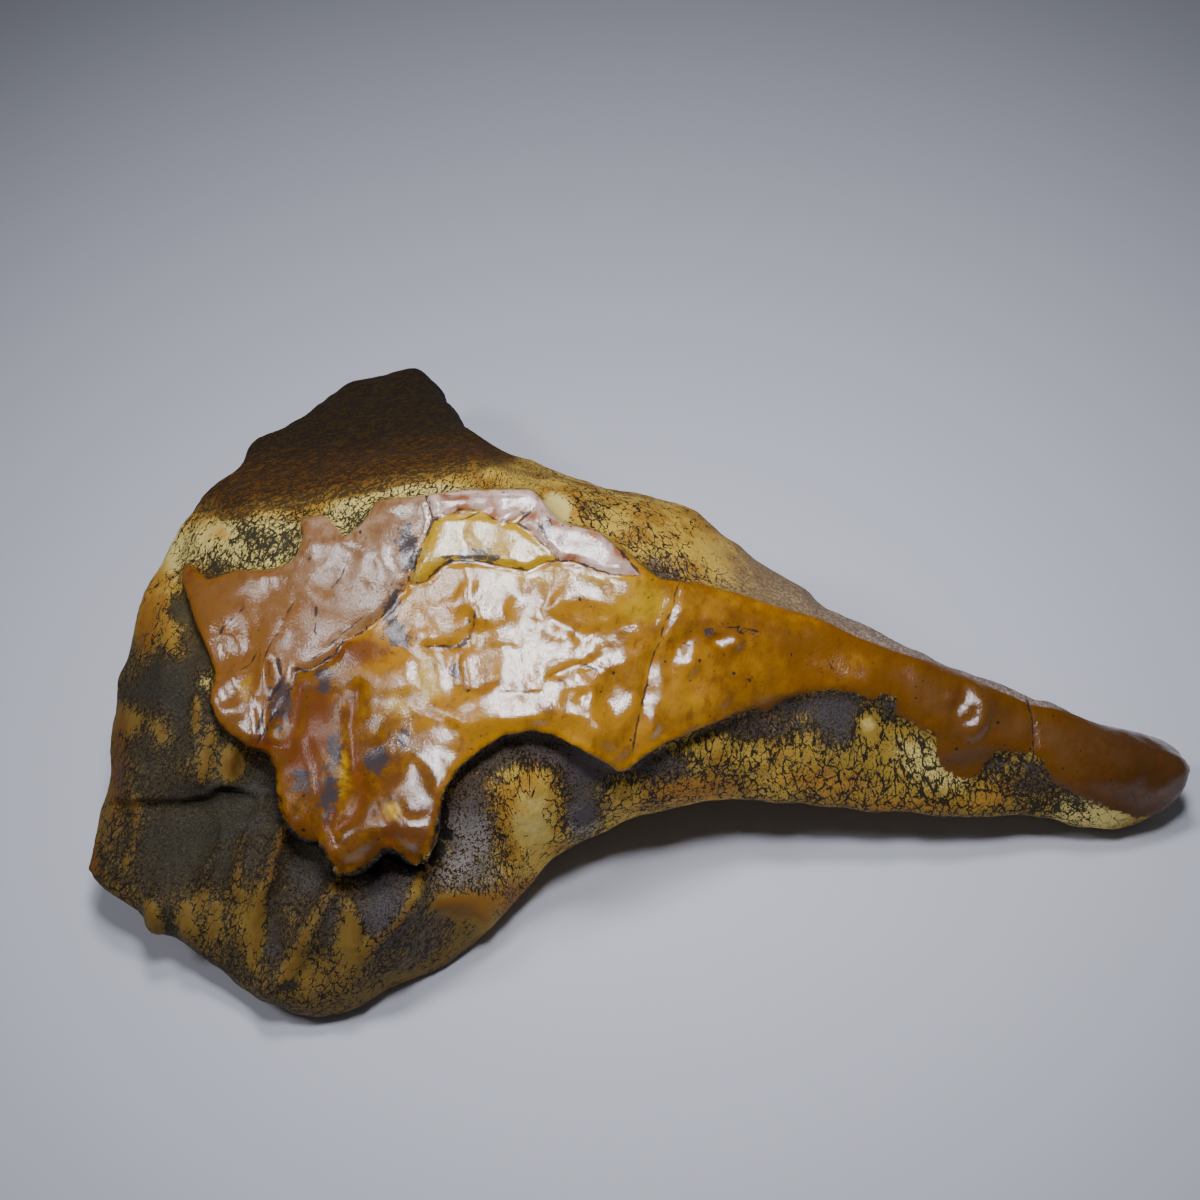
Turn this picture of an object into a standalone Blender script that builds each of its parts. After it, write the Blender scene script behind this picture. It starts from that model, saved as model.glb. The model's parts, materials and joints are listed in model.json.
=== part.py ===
"""A wind-polished agate pebble, built as the single solid it is.

The stone is a broad fan at -X that runs out into a blunt tail at +X. A thick glossy crust covers its top and ends
in a scalloped lip; below the lip the matrix falls away in flutes. A spur reaches back at +Y.
Row frame: +Z up, X along the stone, origin under the middle of its bounding box, on the surface it rests on.
"""

import bmesh
import bpy
import numpy as np
from mathutils import Vector, noise

MM = 0.001

# ---------------------------------------------------------------------------------------------------------------
# Driving dimensions, in millimetres
# ---------------------------------------------------------------------------------------------------------------

# Rails are lines drawn along the stone from the left flank to the tip of the tail, with one point per station.
# Each ring of the loft runs through the same station of every rail.
FRONT_RIM = [
    (-60, -28, 8), (-56.5, -31.5, 8), (-49.5, -35, 6), (-42.5, -40, 4), (-34.5, -42, 3),
    (-27, -38.5, 3), (-20.5, -34, 4), (-14.5, -28, 5), (-6.5, -22, 7), (4.5, -19, 9),
    (15.5, -19, 9), (30, -19.5, 7), (42.5, -18, 5), (49, -18.5, 3.5), (55, -17, 3),
    (59, -14, 4.5),
]
KNEE = [
    (-59, -18.5, 11), (-55, -23, 15), (-50, -25, 16), (-42, -29.5, 15), (-34.5, -34, 15),
    (-26, -34.5, 16.5), (-20, -28, 18), (-13.5, -24, 20.5), (-5.5, -22.5, 20.5), (4.5, -19.5, 20),
    (15.5, -15.5, 19.5), (29.5, -15.5, 16), (42, -17, 12), (49.5, -17.5, 9.5), (56.5, -15.5, 8),
    (59.5, -14, 6.5),
]
CROWN = [
    (-58.5, -10, 15), (-53.5, -11.5, 21), (-48, -9.5, 24), (-41.5, -13.5, 24), (-35, -16, 25),
    (-27.5, -17, 26.5), (-20.5, -15, 29), (-13.5, -14.5, 30.5), (-4, -15.5, 29), (5.5, -14, 27),
    (16, -12, 24.5), (28.5, -13.5, 20), (40.5, -14, 15.5), (49.5, -15, 12.5), (57, -14, 9.8),
    (59.5, -13.5, 7.5),
]
CREST = [
    (-56, 0.5, 19), (-52, 3, 23.5), (-47.5, 6.5, 27), (-41, 5, 30), (-34, 3.5, 33),
    (-26.5, 3, 35), (-19, 3.5, 36), (-11.5, 1, 36), (-4, -6, 34.5), (4, -7.5, 31.5),
    (15.5, -7, 27), (27.5, -9, 21.8), (40, -11, 17), (48.5, -12.5, 13.5), (56.5, -12.5, 10),
    (59, -12.5, 7.5),
]
BACK_SLOPE = [
    (-54.5, 4, 20), (-50.5, 6, 24), (-45.5, 12, 25.5), (-40, 15, 26), (-33.5, 17.5, 26),
    (-27, 19, 26.5), (-22, 19, 26.5), (-15.5, 10.5, 31), (-3, 8.5, 29.5), (5.5, 7, 26.5),
    (15.5, 0, 23.5), (27.5, -5.5, 19.5), (40, -8.5, 15.5), (48, -9.5, 12), (56.5, -9.5, 8.5),
    (59, -10.5, 6.5),
]
BACK_RIM = [
    (-53, 8, 20.5), (-49.5, 14, 21), (-44.5, 22.5, 20), (-39.5, 30.5, 17), (-34.5, 37.5, 14),
    (-27.5, 43, 12), (-24, 38, 13.5), (-19, 24.5, 19), (-4, 17, 15), (6, 14, 12),
    (17, 5.5, 11), (29, -1, 9.5), (41, -5.5, 7.5), (48, -7.5, 6), (56, -9, 5),
    (58.5, -10.5, 5.5),
]
KEEL_BACK = [
    (-54.5, 2, 17), (-49.5, 6, 12), (-43.5, 11, 6), (-37, 16, 1), (-31, 20, -0.5),
    (-26, 24, -0.5), (-20.5, 22, -0.5), (-13, 15, -0.5), (-3, 10, 1.5), (7, 6, 3.5),
    (17.5, -1, 4), (29.5, -6.5, 3), (41.5, -10, 1.5), (48.5, -12, -0.5), (54.5, -12, -0.5),
    (58, -12, 4),
]
KEEL_FRONT = [
    (-59, -19, 7.5), (-54, -19, 5), (-47, -21, 1), (-40, -26, -1), (-33, -30, -1.5),
    (-26, -28, -1.5), (-19.5, -25, -1.5), (-13.5, -19, 0), (-5.5, -12, 4), (5, -9.5, 7),
    (16.5, -9.5, 7), (30, -11, 5.5), (42.5, -13.5, 2.5), (49, -14.5, 0), (54, -14, -0.5),
    (58, -13, 3.5),
]
RAILS = [FRONT_RIM, KNEE, CROWN, CREST, BACK_SLOPE, BACK_RIM, KEEL_BACK, KEEL_FRONT]

# The relief is laid out in millimetres on a plane tilted to face the lip of the crust:
# across is x, and up is y sin(tilt) + z cos(tilt).
FACE_TILT = 50

# Edge of the crust, once round, with how far it stands above the matrix there.
CRUST_EDGE = [
    (-50.5, 17.5, 0.8), (-50.5, 15.5, 1), (-49.5, 13.5, 1.2), (-48.5, 11, 1.4), (-47, 8, 1.4),
    (-46, 5.5, 1.4), (-46.5, 2.5, 1.6), (-45, 0, 2), (-42, -2, 2.2), (-40, -2.5, 2),
    (-39, -4.5, 2.2), (-38.5, -8.5, 2.6), (-36.5, -11, 3), (-34, -11.5, 3), (-32, -14.5, 3.6),
    (-30, -14, 3.4), (-28, -12, 3.2), (-26.5, -12, 3.2), (-24.5, -13.5, 3.6), (-23, -12, 3.4),
    (-22.5, -9, 3), (-22, -6.5, 2.6), (-20.5, -4, 2.2), (-18, -2, 2), (-15.5, -0.5, 1.8),
    (-12.5, 0, 1.8), (-10, -0.5, 1.8), (-7, -2, 2), (-4.5, -3.5, 2.2), (-3, -4.5, 2.2),
    (-1, -3, 1.9), (1.5, -1.5, 1.4), (5.5, 0, 1), (9.5, 1.5, 0.8), (14, 3, 0.6),
    (19.5, 4, 0.5), (24.5, 3, 0.4), (28.5, 0.5, 0.5), (31.5, -4, 0.5), (36.5, -3, 0.4),
    (41.5, -3, 0.4), (44.5, -6.5, 0.4), (47, -8, 0.4), (53.5, -10.5, 0.3), (57, -10, 0.3),
    (59.5, -7, 0.2), (59.5, -4.5, 0.2), (56, -2.5, 0.2), (48, -1, 0.2), (42.5, 2, 0.2),
    (33.5, 5, 0.3), (25, 9, 0.3), (19, 11, 0.4), (15, 12.5, 0.5), (9.5, 14, 0.6),
    (5.5, 15, 0.7), (1, 15.5, 0.8), (-3, 18.5, 0.8), (-5.5, 20.5, 0.8), (-9.5, 21.5, 0.8),
    (-12.5, 25, 1), (-19, 25, 1), (-23, 24.5, 1), (-29, 24, 0.9), (-30.5, 21.5, 0.8),
    (-32.5, 20, 0.8), (-33.5, 21, 0.8), (-35, 22.5, 0.9), (-37.5, 22, 0.9), (-37, 20, 0.8),
    (-38, 17.5, 0.8), (-40.5, 16.5, 0.8), (-44.5, 16.5, 0.8), (-47.5, 15.5, 0.8),
]
EDGE_ROUNDING = 1.6
EDGE_BEAD = 9  # the crust's rim is thicker than its middle by this distance in from the edge

# Broken sheets of the crust that lie one over the other near the crest, and their height.
UPPER_PLATE = [
    (-23.5, 24), (-19, 25), (-13, 25), (-9.5, 21.5), (-5.5, 20.5), (-3, 18), (-5.5, 18),
    (-10.5, 18), (-11.5, 19.5), (-14, 21.5), (-16.5, 22), (-19, 23), (-22, 22.5), (-23.5, 21.5),
]
MIDDLE_PLATE = [
    (-22, 22), (-19, 23), (-16.5, 22), (-14, 21), (-11.5, 19.5), (-10, 17.5), (-13.5, 16.5),
    (-19, 17), (-22, 16.5), (-25, 14.5), (-25.5, 16), (-24, 19), (-22.5, 21),
]
PLATE_HEIGHT = 0.7

# Flutes worn into the matrix below the lip: the line of each rib, its half width and its height.
FLUTES = [
    ([(-45, -6.5), (-45.5, -9.5), (-46, -12.5), (-47.5, -16)], 1.1, 1.1),
    ([(-41.5, -7.5), (-43, -12), (-43.5, -14.5), (-44, -18)], 1.1, 1.3),
    ([(-38, -9), (-39, -11.5), (-40, -15), (-41.5, -18.5), (-43, -21.5)], 1.2, 1.4),
    ([(-32, -14.5), (-34.5, -18), (-36, -21.5), (-38.5, -24.5), (-39.5, -27)], 1.3, 1.5),
    ([(-23.5, -13.5), (-25, -17.5), (-26.5, -20), (-28.5, -22.5)], 1.3, 1.5),
    ([(-20, -17.5), (-22, -18), (-24.5, -20.5), (-26.5, -23.5)], 1.4, 0.9),
    ([(-50, -10), (-51, -13), (-51.5, -16.5), (-52, -19.5)], 1.2, 0.9),
    ([(-55, -4.5), (-55.5, -10), (-56.5, -15.5)], 1.4, 1),
    ([(-31.5, -18.5), (-31, -24), (-32, -27)], 1.3, 1.1),
    ([(-47.5, 9), (-48, 5), (-47.5, 0.5), (-48.5, -4.5)], 1.1, 1),
    ([(-51.5, 7), (-52.5, 2.5), (-53.5, -2)], 1.2, 0.9),
]
# Hollows worn under the lip and into the matrix: place, radius across, radius up, depth.
HOLLOWS = [
    (-37, -13, 2.2, 1.6, 1.4), (-30, -16, 3.5, 1.6, 1.6), (-25.5, -15, 2, 1.4, 1.4),
    (-21, -13, 2, 3, 1), (-41, -5, 2, 2.2, 1.8), (-43, -7.5, 2.5, 2, 1), (-50, -12, 4, 3, 1),
    (-37, -7.5, 1.6, 2.5, 1.2), (-47, -8, 6, 1.3, 1.2), (-35, -16, 2, 2.5, 0.9),
    (-49, 11, 2, 4, 0.8), (-53, 0, 2, 5, 0.7), (-12, -3, 4, 1.6, 0.7), (8, -1.5, 6, 1.5, 0.5),
    (22, 1, 5, 2, 0.5),
]
# Lumps that bulge out, in the same order: the crust's folds, and knobs along the foot of the flutes.
LUMPS = [
    (-31, -10, 3, 3, 0.9), (-24.5, -10, 2.2, 3, 0.8), (-35, -5, 2.5, 4, 0.6), (-44, 2, 2.5, 3, 0.6),
    (-19, 13, 3, 3.5, 0.7), (-26, 5, 4, 2, 0.6), (-14, 4, 5, 2, 0.6), (-4, 0, 3, 3, 0.6),
    (-51.5, -19, 2, 1.4, 1.1), (-48, -20.5, 1.8, 1.4, 1), (-40, -27, 2.2, 1.6, 1),
    (-36, -28.5, 2, 1.6, 0.8), (-17.5, -18.5, 2, 2.4, 0.8), (-43, 19.5, 4, 2, 0.5),
    (34, 0, 3, 2, 0.4),
]
# Grain of the surface: size of the bumps and their height, on the crust and on the matrix.
CRUST_GRAIN = [(9, 0.7), (4.2, 0.6)]
MATRIX_GRAIN = [(8, 0.6), (3.6, 0.5)]
SPUR_CHIPS = (4, 1.3)  # size and height of the steps along the spur's broken edge

SECTIONS = 200
RING_POINTS = 136
WORKING_GRID = 0.85
FACES = 9300


def smooth(value):
    value = np.clip(value, 0, 1)
    return value * value * (3 - 2 * value)


def spline(points, samples, closed=False):
    """Catmull-Rom curve through points, which run along axis 0."""
    points = np.asarray(points, float)
    count = len(points)
    spans = count if closed else count - 1
    place = np.linspace(0, spans, samples, endpoint=not closed)
    span = np.minimum(place.astype(int), spans - 1)
    t = (place - span).reshape((-1,) + (1,) * (points.ndim - 1))
    if closed:
        a, b, c, d = (points[(span + k) % count] for k in (-1, 0, 1, 2))
    else:
        a, b, c, d = (points[np.clip(span + k, 0, count - 1)] for k in (-1, 0, 1, 2))
    return 0.5 * (
        2 * b + (c - a) * t + (2 * a - 5 * b + 4 * c - d) * t**2 + (3 * b - a - 3 * c + d) * t**3
    )


def loft():
    """The bare stone: rings through the rails, closed at both ends."""
    rails = np.stack([spline(rail, SECTIONS) for rail in RAILS])
    rings = spline(rails, RING_POINTS, closed=True)
    mesh = bmesh.new()
    bmesh.ops.create_grid(mesh, x_segments=RING_POINTS, y_segments=SECTIONS - 1, size=1)
    mesh.verts.ensure_lookup_table()
    for number, vertex in enumerate(mesh.verts):
        section, place = divmod(number, RING_POINTS + 1)
        vertex.co = rings[place % RING_POINTS, section]
    bmesh.ops.remove_doubles(mesh, verts=mesh.verts, dist=0.0001)
    bmesh.ops.holes_fill(mesh, edges=[edge for edge in mesh.edges if edge.is_boundary], sides=0)
    bmesh.ops.recalc_face_normals(mesh, faces=mesh.faces)
    data = bpy.data.meshes.new("loft")
    mesh.to_mesh(data)
    mesh.free()
    return data


def through_modifier(data, kind, **settings):
    """The mesh after one modifier."""
    holder = bpy.data.objects.new("holder", data)
    bpy.context.scene.collection.objects.link(holder)
    modifier = holder.modifiers.new("step", kind)
    for name, value in settings.items():
        setattr(modifier, name, value)
    graph = bpy.context.evaluated_depsgraph_get()
    result = bpy.data.meshes.new_from_object(holder.evaluated_get(graph))
    bpy.data.objects.remove(holder)
    return result


def distance_to_line(across, up, line):
    """Distance of each point to an open line."""
    nearest = np.full(len(across), np.inf)
    for (ax, ay), (bx, by) in zip(line[:-1], line[1:]):
        dx, dy = bx - ax, by - ay
        t = np.clip(((across - ax) * dx + (up - ay) * dy) / (dx * dx + dy * dy), 0, 1)
        nearest = np.minimum(nearest, np.hypot(across - ax - t * dx, up - ay - t * dy))
    return nearest


def depth_inside(across, up, outline):
    """Distance to a closed outline, positive inside it."""
    corners = [point[:2] for point in outline]
    nearest = distance_to_line(across, up, corners + corners[:1])
    inside = np.zeros(len(across), bool)
    for (ax, ay), (bx, by) in zip(corners, corners[1:] + corners[:1]):
        if ay != by:
            crosses = (ay > up) != (by > up)
            inside ^= crosses & (across < (bx - ax) * (up - ay) / (by - ay) + ax)
    return np.where(inside, nearest, -nearest)


def lip_height(across, up):
    """Height of the crust's lip, blended between the values along its edge."""
    edge = np.array(CRUST_EDGE)
    gap = (across[:, None] - edge[:, 0]) ** 2 + (up[:, None] - edge[:, 1]) ** 2
    weight = 1 / (gap + 0.5) ** 2
    return (weight * edge[:, 2]).sum(1) / weight.sum(1)


def bump(across, up, spots):
    """Sum of rounded spots, each (across, up, radius across, radius up, height)."""
    total = np.zeros(len(across))
    for x, y, wide, tall, height in spots:
        total += height * np.exp(-(((across - x) / wide) ** 2) - ((up - y) / tall) ** 2)
    return total


def grain(points, layers):
    total = np.zeros(len(points))
    for size, height in layers:
        total += [height * noise.noise(Vector(point) / size) for point in points]
    return total


def relief(points, normals):
    """How far each point of the bare stone moves out along its normal."""
    tilt = np.radians(FACE_TILT)
    across = points[:, 0]
    up = points[:, 1] * np.sin(tilt) + points[:, 2] * np.cos(tilt)
    facing = smooth((normals[:, 2] * np.sin(tilt) - normals[:, 1] * np.cos(tilt)) / 0.3)

    depth = depth_inside(across, up, CRUST_EDGE)
    lip = lip_height(across, up)
    on_crust = smooth((depth + 0.4 * EDGE_ROUNDING) / EDGE_ROUNDING)
    crust = lip * on_crust * (1 - 0.7 * smooth((depth - 1.5) / EDGE_BEAD))
    undercut = 0.4 * lip * np.exp(-(((depth + 1.6) / 1.2) ** 2)) * (1 - on_crust)
    plates = PLATE_HEIGHT * smooth((depth_inside(across, up, UPPER_PLATE) + 0.5) / 1.2)
    plates += 0.5 * PLATE_HEIGHT * smooth((depth_inside(across, up, MIDDLE_PLATE) + 0.5) / 1.2)

    ribs = np.zeros(len(points))
    for line, wide, height in FLUTES:
        ribs = np.maximum(ribs, height * np.exp(-((distance_to_line(across, up, line) / wide) ** 2)))
    worn = ribs - bump(across, up, HOLLOWS)

    on_crust = on_crust * facing
    moved = facing * (crust - undercut + plates + worn * (1 - on_crust) + bump(across, up, LUMPS))
    moved += on_crust * grain(points, CRUST_GRAIN) + (1 - on_crust) * grain(points, MATRIX_GRAIN)
    on_spur = smooth((points[:, 1] - 8) / 8) * smooth((0.75 - np.abs(normals[:, 2])) / 0.4)
    return moved + on_spur * grain(points, [SPUR_CHIPS])


def polished(data):
    """Moves every vertex of the working mesh by the relief."""
    count = len(data.vertices)
    points, normals = np.empty(count * 3), np.empty(count * 3)
    data.vertices.foreach_get("co", points)
    data.vertex_normals.foreach_get("vector", normals)
    points, normals = points.reshape(-1, 3), normals.reshape(-1, 3)
    points += normals * relief(points, normals)[:, None]
    data.vertices.foreach_set("co", points.ravel())
    data.update()
    return data


def seated(data):
    """Cuts the flat that the stone rests on, at z = 0, and turns millimetres into metres."""
    mesh = bmesh.new()
    mesh.from_mesh(data)
    everything = mesh.verts[:] + mesh.edges[:] + mesh.faces[:]
    bmesh.ops.bisect_plane(
        mesh, geom=everything, dist=0.0001, plane_co=(0, 0, 0), plane_no=(0, 0, 1), clear_inner=True
    )
    bmesh.ops.holes_fill(mesh, edges=[edge for edge in mesh.edges if edge.is_boundary], sides=0)
    bmesh.ops.triangulate(mesh, faces=mesh.faces)
    bmesh.ops.recalc_face_normals(mesh, faces=mesh.faces)
    bmesh.ops.scale(mesh, vec=(MM, MM, MM), verts=mesh.verts)
    for face in mesh.faces:
        face.smooth = True
    mesh.to_mesh(data)
    mesh.free()
    return data


def agate_material():
    material = bpy.data.materials.new("agate")
    material.use_nodes = True
    shader = material.node_tree.nodes["Principled BSDF"]
    shader.inputs["Base Color"].default_value = (0.48, 0.25, 0.05, 1)
    shader.inputs["Roughness"].default_value = 0.3
    shader.inputs["Metallic"].default_value = 0
    return material


for old in list(bpy.data.objects):
    bpy.data.objects.remove(old)

working = through_modifier(loft(), "REMESH", mode="VOXEL", voxel_size=WORKING_GRID)
working = polished(working)
triangles = sum(len(face.vertices) - 2 for face in working.polygons)
shape = through_modifier(working, "DECIMATE", ratio=FACES / triangles)
agate = bpy.data.objects.new("agate", seated(shape))
agate.data.name = "agate"
agate.data.materials.append(agate_material())

pieces = bpy.data.collections.new("Agate")
bpy.context.scene.collection.children.link(pieces)
pieces.objects.link(agate)
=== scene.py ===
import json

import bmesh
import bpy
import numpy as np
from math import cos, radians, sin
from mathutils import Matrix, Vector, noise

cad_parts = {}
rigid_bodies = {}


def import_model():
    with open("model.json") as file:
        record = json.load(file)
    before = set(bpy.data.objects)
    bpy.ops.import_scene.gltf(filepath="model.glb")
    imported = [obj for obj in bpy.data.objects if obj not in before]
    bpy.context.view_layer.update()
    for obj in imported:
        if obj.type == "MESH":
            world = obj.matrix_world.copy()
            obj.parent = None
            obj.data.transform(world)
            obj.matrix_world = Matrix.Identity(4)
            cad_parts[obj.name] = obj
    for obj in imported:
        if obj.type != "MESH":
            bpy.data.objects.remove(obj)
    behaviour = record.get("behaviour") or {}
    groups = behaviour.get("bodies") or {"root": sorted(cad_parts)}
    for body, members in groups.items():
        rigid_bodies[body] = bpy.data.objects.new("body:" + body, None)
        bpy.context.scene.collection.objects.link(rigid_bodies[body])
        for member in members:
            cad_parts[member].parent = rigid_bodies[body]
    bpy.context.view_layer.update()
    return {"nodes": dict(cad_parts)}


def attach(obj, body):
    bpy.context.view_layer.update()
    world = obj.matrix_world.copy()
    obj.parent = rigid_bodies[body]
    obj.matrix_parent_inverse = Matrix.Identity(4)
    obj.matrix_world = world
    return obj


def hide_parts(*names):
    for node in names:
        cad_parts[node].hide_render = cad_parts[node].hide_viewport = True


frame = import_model()

# %% [markdown]
# # A wind-polished agate
# This lesson dresses one natural stone. It is a broad fan that runs out into a blunt tail. A thick amber
# crust lies over its top like poured wax, and its edge stands above a speckled matrix that sand has carved
# into flutes. The stone is one solid, so it is one piece here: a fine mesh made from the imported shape, and
# one material that changes from place to place. Lengths are worked out in millimetres and turned into
# metres at the end.

MM = 0.001

# %% [markdown]
# ## The camera
# The stone is seen from above its long side, as a collector looks down at a piece on a table. A long lens
# from a short way off keeps the near lobe and the far spur at nearly the same scale.

# %% Camera
LOOK_DOWN = 50  # degrees below the horizon
STAND_OFF = 0.45
AIM = Vector((-0.0053, 0.0175, 0))
LENS = 116.1  # mm, on a sensor 36 mm wide

camera = bpy.data.objects.new("camera", bpy.data.cameras.new("camera"))
bpy.context.scene.collection.objects.link(camera)
camera.data.lens = LENS
camera.data.sensor_width = 36
camera.data.clip_start = 0.01
camera.location = AIM - STAND_OFF * Vector((0, cos(radians(LOOK_DOWN)), -sin(radians(LOOK_DOWN))))
camera.rotation_euler = (radians(90 - LOOK_DOWN), 0, 0)
bpy.context.scene.camera = camera
print("camera stands at", [round(c, 3) for c in camera.location])

# %% [markdown]
# ## A drawing board over the stone
# Everything that has an outline, such as the crust's edge, a crack or a grey patch, is drawn on a flat
# board that is tilted 50 degrees to face the lip. A point on it is (across, up) in millimetres: across runs
# along the stone, and up is part depth, part height. A drawing could be a picture that is projected onto
# the mesh, but short lists of corners stay sharp at any size and can be moved one by one. Measuring how far
# a vertex lies from a line then gives soft edges, steps and grooves from the same few numbers.

# %% Drawing board
BOARD_TILT = radians(50)
BOARD_UP = np.array([0, sin(BOARD_TILT), cos(BOARD_TILT)])
BOARD_OUT = np.array([0, -cos(BOARD_TILT), sin(BOARD_TILT)])


def smooth(value):
    value = np.clip(value, 0, 1)
    return value * value * (3 - 2 * value)


def onto_board(points):
    return points[:, 0], points @ BOARD_UP


def over_board(points):
    """Points as (across, up, height over the board)."""
    return np.stack([*onto_board(points), points @ BOARD_OUT], axis=1)


print("the board faces", [round(float(c), 2) for c in BOARD_OUT])


# %% Lines, outlines and dabs
def along_line(across, up, line):
    """For each point: its distance to an open line, its side of the line, and how far past the ends it is."""
    nearest = np.full(len(across), np.inf)
    side, past = np.ones(len(across)), np.zeros(len(across))
    last = len(line) - 2
    for place, ((ax, ay), (bx, by)) in enumerate(zip(line[:-1], line[1:])):
        dx, dy = bx - ax, by - ay
        length = np.hypot(dx, dy)
        t = ((across - ax) * dx + (up - ay) * dy) / length**2
        inside = np.clip(t, 0, 1)
        gap = np.hypot(across - ax - inside * dx, up - ay - inside * dy)
        closer = gap < nearest
        nearest = np.where(closer, gap, nearest)
        side = np.where(closer, np.sign((up - ay) * dx - (across - ax) * dy), side)
        over = np.where((place == 0) & (t < 0), -t, 0) + np.where((place == last) & (t > 1), t - 1, 0)
        past = np.where(closer, over * length, past)
    return nearest, side, past


def depth_inside(across, up, outline):
    """Distance to a closed outline, positive inside it."""
    corners = [point[:2] for point in outline]
    nearest, _, _ = along_line(across, up, corners + corners[:1])
    inside = np.zeros(len(across), bool)
    for (ax, ay), (bx, by) in zip(corners, corners[1:] + corners[:1]):
        if ay != by:
            crosses = (ay > up) != (by > up)
            inside ^= crosses & (across < (bx - ax) * (up - ay) / (by - ay) + ax)
    return np.where(inside, nearest, -nearest)


def dabs(across, up, spots):
    """Sum of soft round dabs, each (across, up, radius across, radius up, strength)."""
    total = np.zeros(len(across))
    for x, y, wide, tall, strength in spots:
        total += strength * np.exp(-(((across - x) / wide) ** 2) - ((up - y) / tall) ** 2)
    return total


# %% [markdown]
# ## Where things lie on the board
# The amber crust has one outline, and four thin broken sheets lie on it near the crest. The mesh could be
# cut along these lines, but then the borders could not fray. So each line stays a list of corners. The
# third number of the crust's corners is the height of its lip there: a bold bead round the lobes, and
# hardly any on the tail.

# %% Outlines of the crust and its sheets
CRUST_EDGE = [
    (-50.5, 17.5, 0.8), (-50.5, 15.5, 1), (-49.5, 13.5, 1.2), (-48.5, 11, 1.4), (-47, 8, 1.4),
    (-46, 5.5, 1.4), (-46.5, 2.5, 1.6), (-45, 0, 2), (-42, -2, 2.2), (-40, -2.5, 2), (-39, -4.5, 2.2),
    (-38.5, -8.5, 2.6), (-36.5, -11, 3), (-34, -11.5, 3), (-32, -14.5, 3.6), (-30, -14, 3.4),
    (-28, -12, 3.2), (-26.5, -12, 3.2), (-24.5, -13.5, 3.6), (-23, -12, 3.4), (-22.5, -9, 3),
    (-22, -6.5, 2.6), (-20.5, -4, 2.2), (-18, -2, 2), (-15.5, -0.5, 1.8), (-12.5, 0, 1.8), (-10, -0.5, 1.8),
    (-7, -2, 2), (-4.5, -3.5, 2.2), (-3, -4.5, 2.2), (-1, -3, 1.9), (1.5, -1.5, 1.4), (5.5, 0, 1),
    (9.5, 1.5, 0.8), (11, 2, 0.7), (12.5, 1.5, 0.6), (14, 3, 0.6), (17, 3.5, 0.5), (19.5, 4, 0.5),
    (22, 3.5, 0.4), (23.5, 2.5, 0.4), (25, 3.5, 0.4), (26.5, 3, 0.4), (26.5, 1.5, 0.4), (28, 0.5, 0.5),
    (29.5, -0.5, 0.5), (30.5, -0.5, 0.5), (31, -2.5, 0.5), (31.5, -4.5, 0.5), (33, -5.5, 0.5),
    (35, -6, 0.5), (36.5, -4, 0.4), (37.5, -3, 0.4), (41.5, -3, 0.4), (42.5, -4, 0.4), (43.5, -6, 0.4),
    (47, -8, 0.4), (53.5, -10.5, 0.3), (57, -10, 0.3), (62, -7, 0.2), (62, 1, 0.2), (52, 2.5, 0.2),
    (47.5, 1, 0.2), (41.5, 2, 0.2), (34.5, 5, 0.3), (31, 6.5, 0.3), (26, 8, 0.3), (22, 9.5, 0.3),
    (18, 11.5, 0.4), (14, 12.5, 0.5), (9.5, 14, 0.6), (5.5, 15, 0.7), (1, 15.5, 0.8), (-3, 18.5, 0.8),
    (-5.5, 20.5, 0.8), (-9.5, 21.5, 0.8), (-12.5, 25, 1), (-19, 25, 1), (-23, 24.5, 1), (-29, 24, 0.9),
    (-30.5, 21.5, 0.8), (-32.5, 20, 0.8), (-33.5, 21, 0.8), (-35, 22.5, 0.9), (-37.5, 22, 0.9),
    (-37, 20, 0.8), (-38, 17.5, 0.8), (-40.5, 16.5, 0.8), (-44.5, 16.5, 0.8), (-47.5, 15.5, 0.8),
]
LEFT_PLATE = [
    (-54, 18), (-50, 24), (-24, 26), (-23, 22), (-24, 19), (-25.5, 16), (-26, 14.5), (-27.5, 12.5),
    (-28.5, 11.5), (-30.5, 10), (-32.5, 9), (-33.5, 7.5), (-36, 6), (-37.5, 6), (-38, 4), (-39.5, 1.5),
    (-41, -1), (-43, -4), (-50, -2), (-52, 10),
]
MIDDLE_PLATE = [
    (-23, 22), (-21, 22.5), (-18, 23), (-16.5, 22), (-15.5, 21.5), (-14, 21.5), (-12.5, 20.5), (-11, 19),
    (-9.5, 17.5), (-11, 17.5), (-13, 16.5), (-15.5, 17), (-18, 17.5), (-21, 17.5), (-22, 17), (-23.5, 15.5),
    (-25, 15), (-25.5, 15.5), (-25, 17.5), (-24, 19.5),
]
UPPER_PLATE = [
    (-24, 25), (-20, 26), (-15.5, 26.5), (-12.5, 26), (-11.5, 24), (-12.5, 23), (-14.5, 22), (-15.5, 21.5),
    (-16.5, 22), (-18, 23), (-20, 23), (-23, 22),
]
RIGHT_PLATE = [
    (-12.5, 23), (-11.5, 24.5), (-10, 23), (-5, 21), (-3, 18.5), (-1, 16), (-3.5, 16), (-5.5, 16.5),
    (-8, 17.5), (-9.5, 17.5), (-11, 19), (-12.5, 20.5), (-14, 21.5),
]
SHEETS = (LEFT_PLATE, MIDDLE_PLATE, UPPER_PLATE, RIGHT_PLATE)
print("corners of the crust:", len(CRUST_EDGE), "and of its sheets:", [len(sheet) for sheet in SHEETS])


def sheet_depths(across, up):
    return [depth_inside(across, up, outline) for outline in SHEETS]


# %% [markdown]
# ## The body of the stone
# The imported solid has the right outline, but its triangles are over a millimetre wide, and a glossy skin
# would show every one. A copy of it is merged, covered again with small even squares by a voxel Remesh, and
# relaxed. Modelling the form again from its rails would give the same surface, but starting from the solid
# keeps the two in step.

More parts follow.
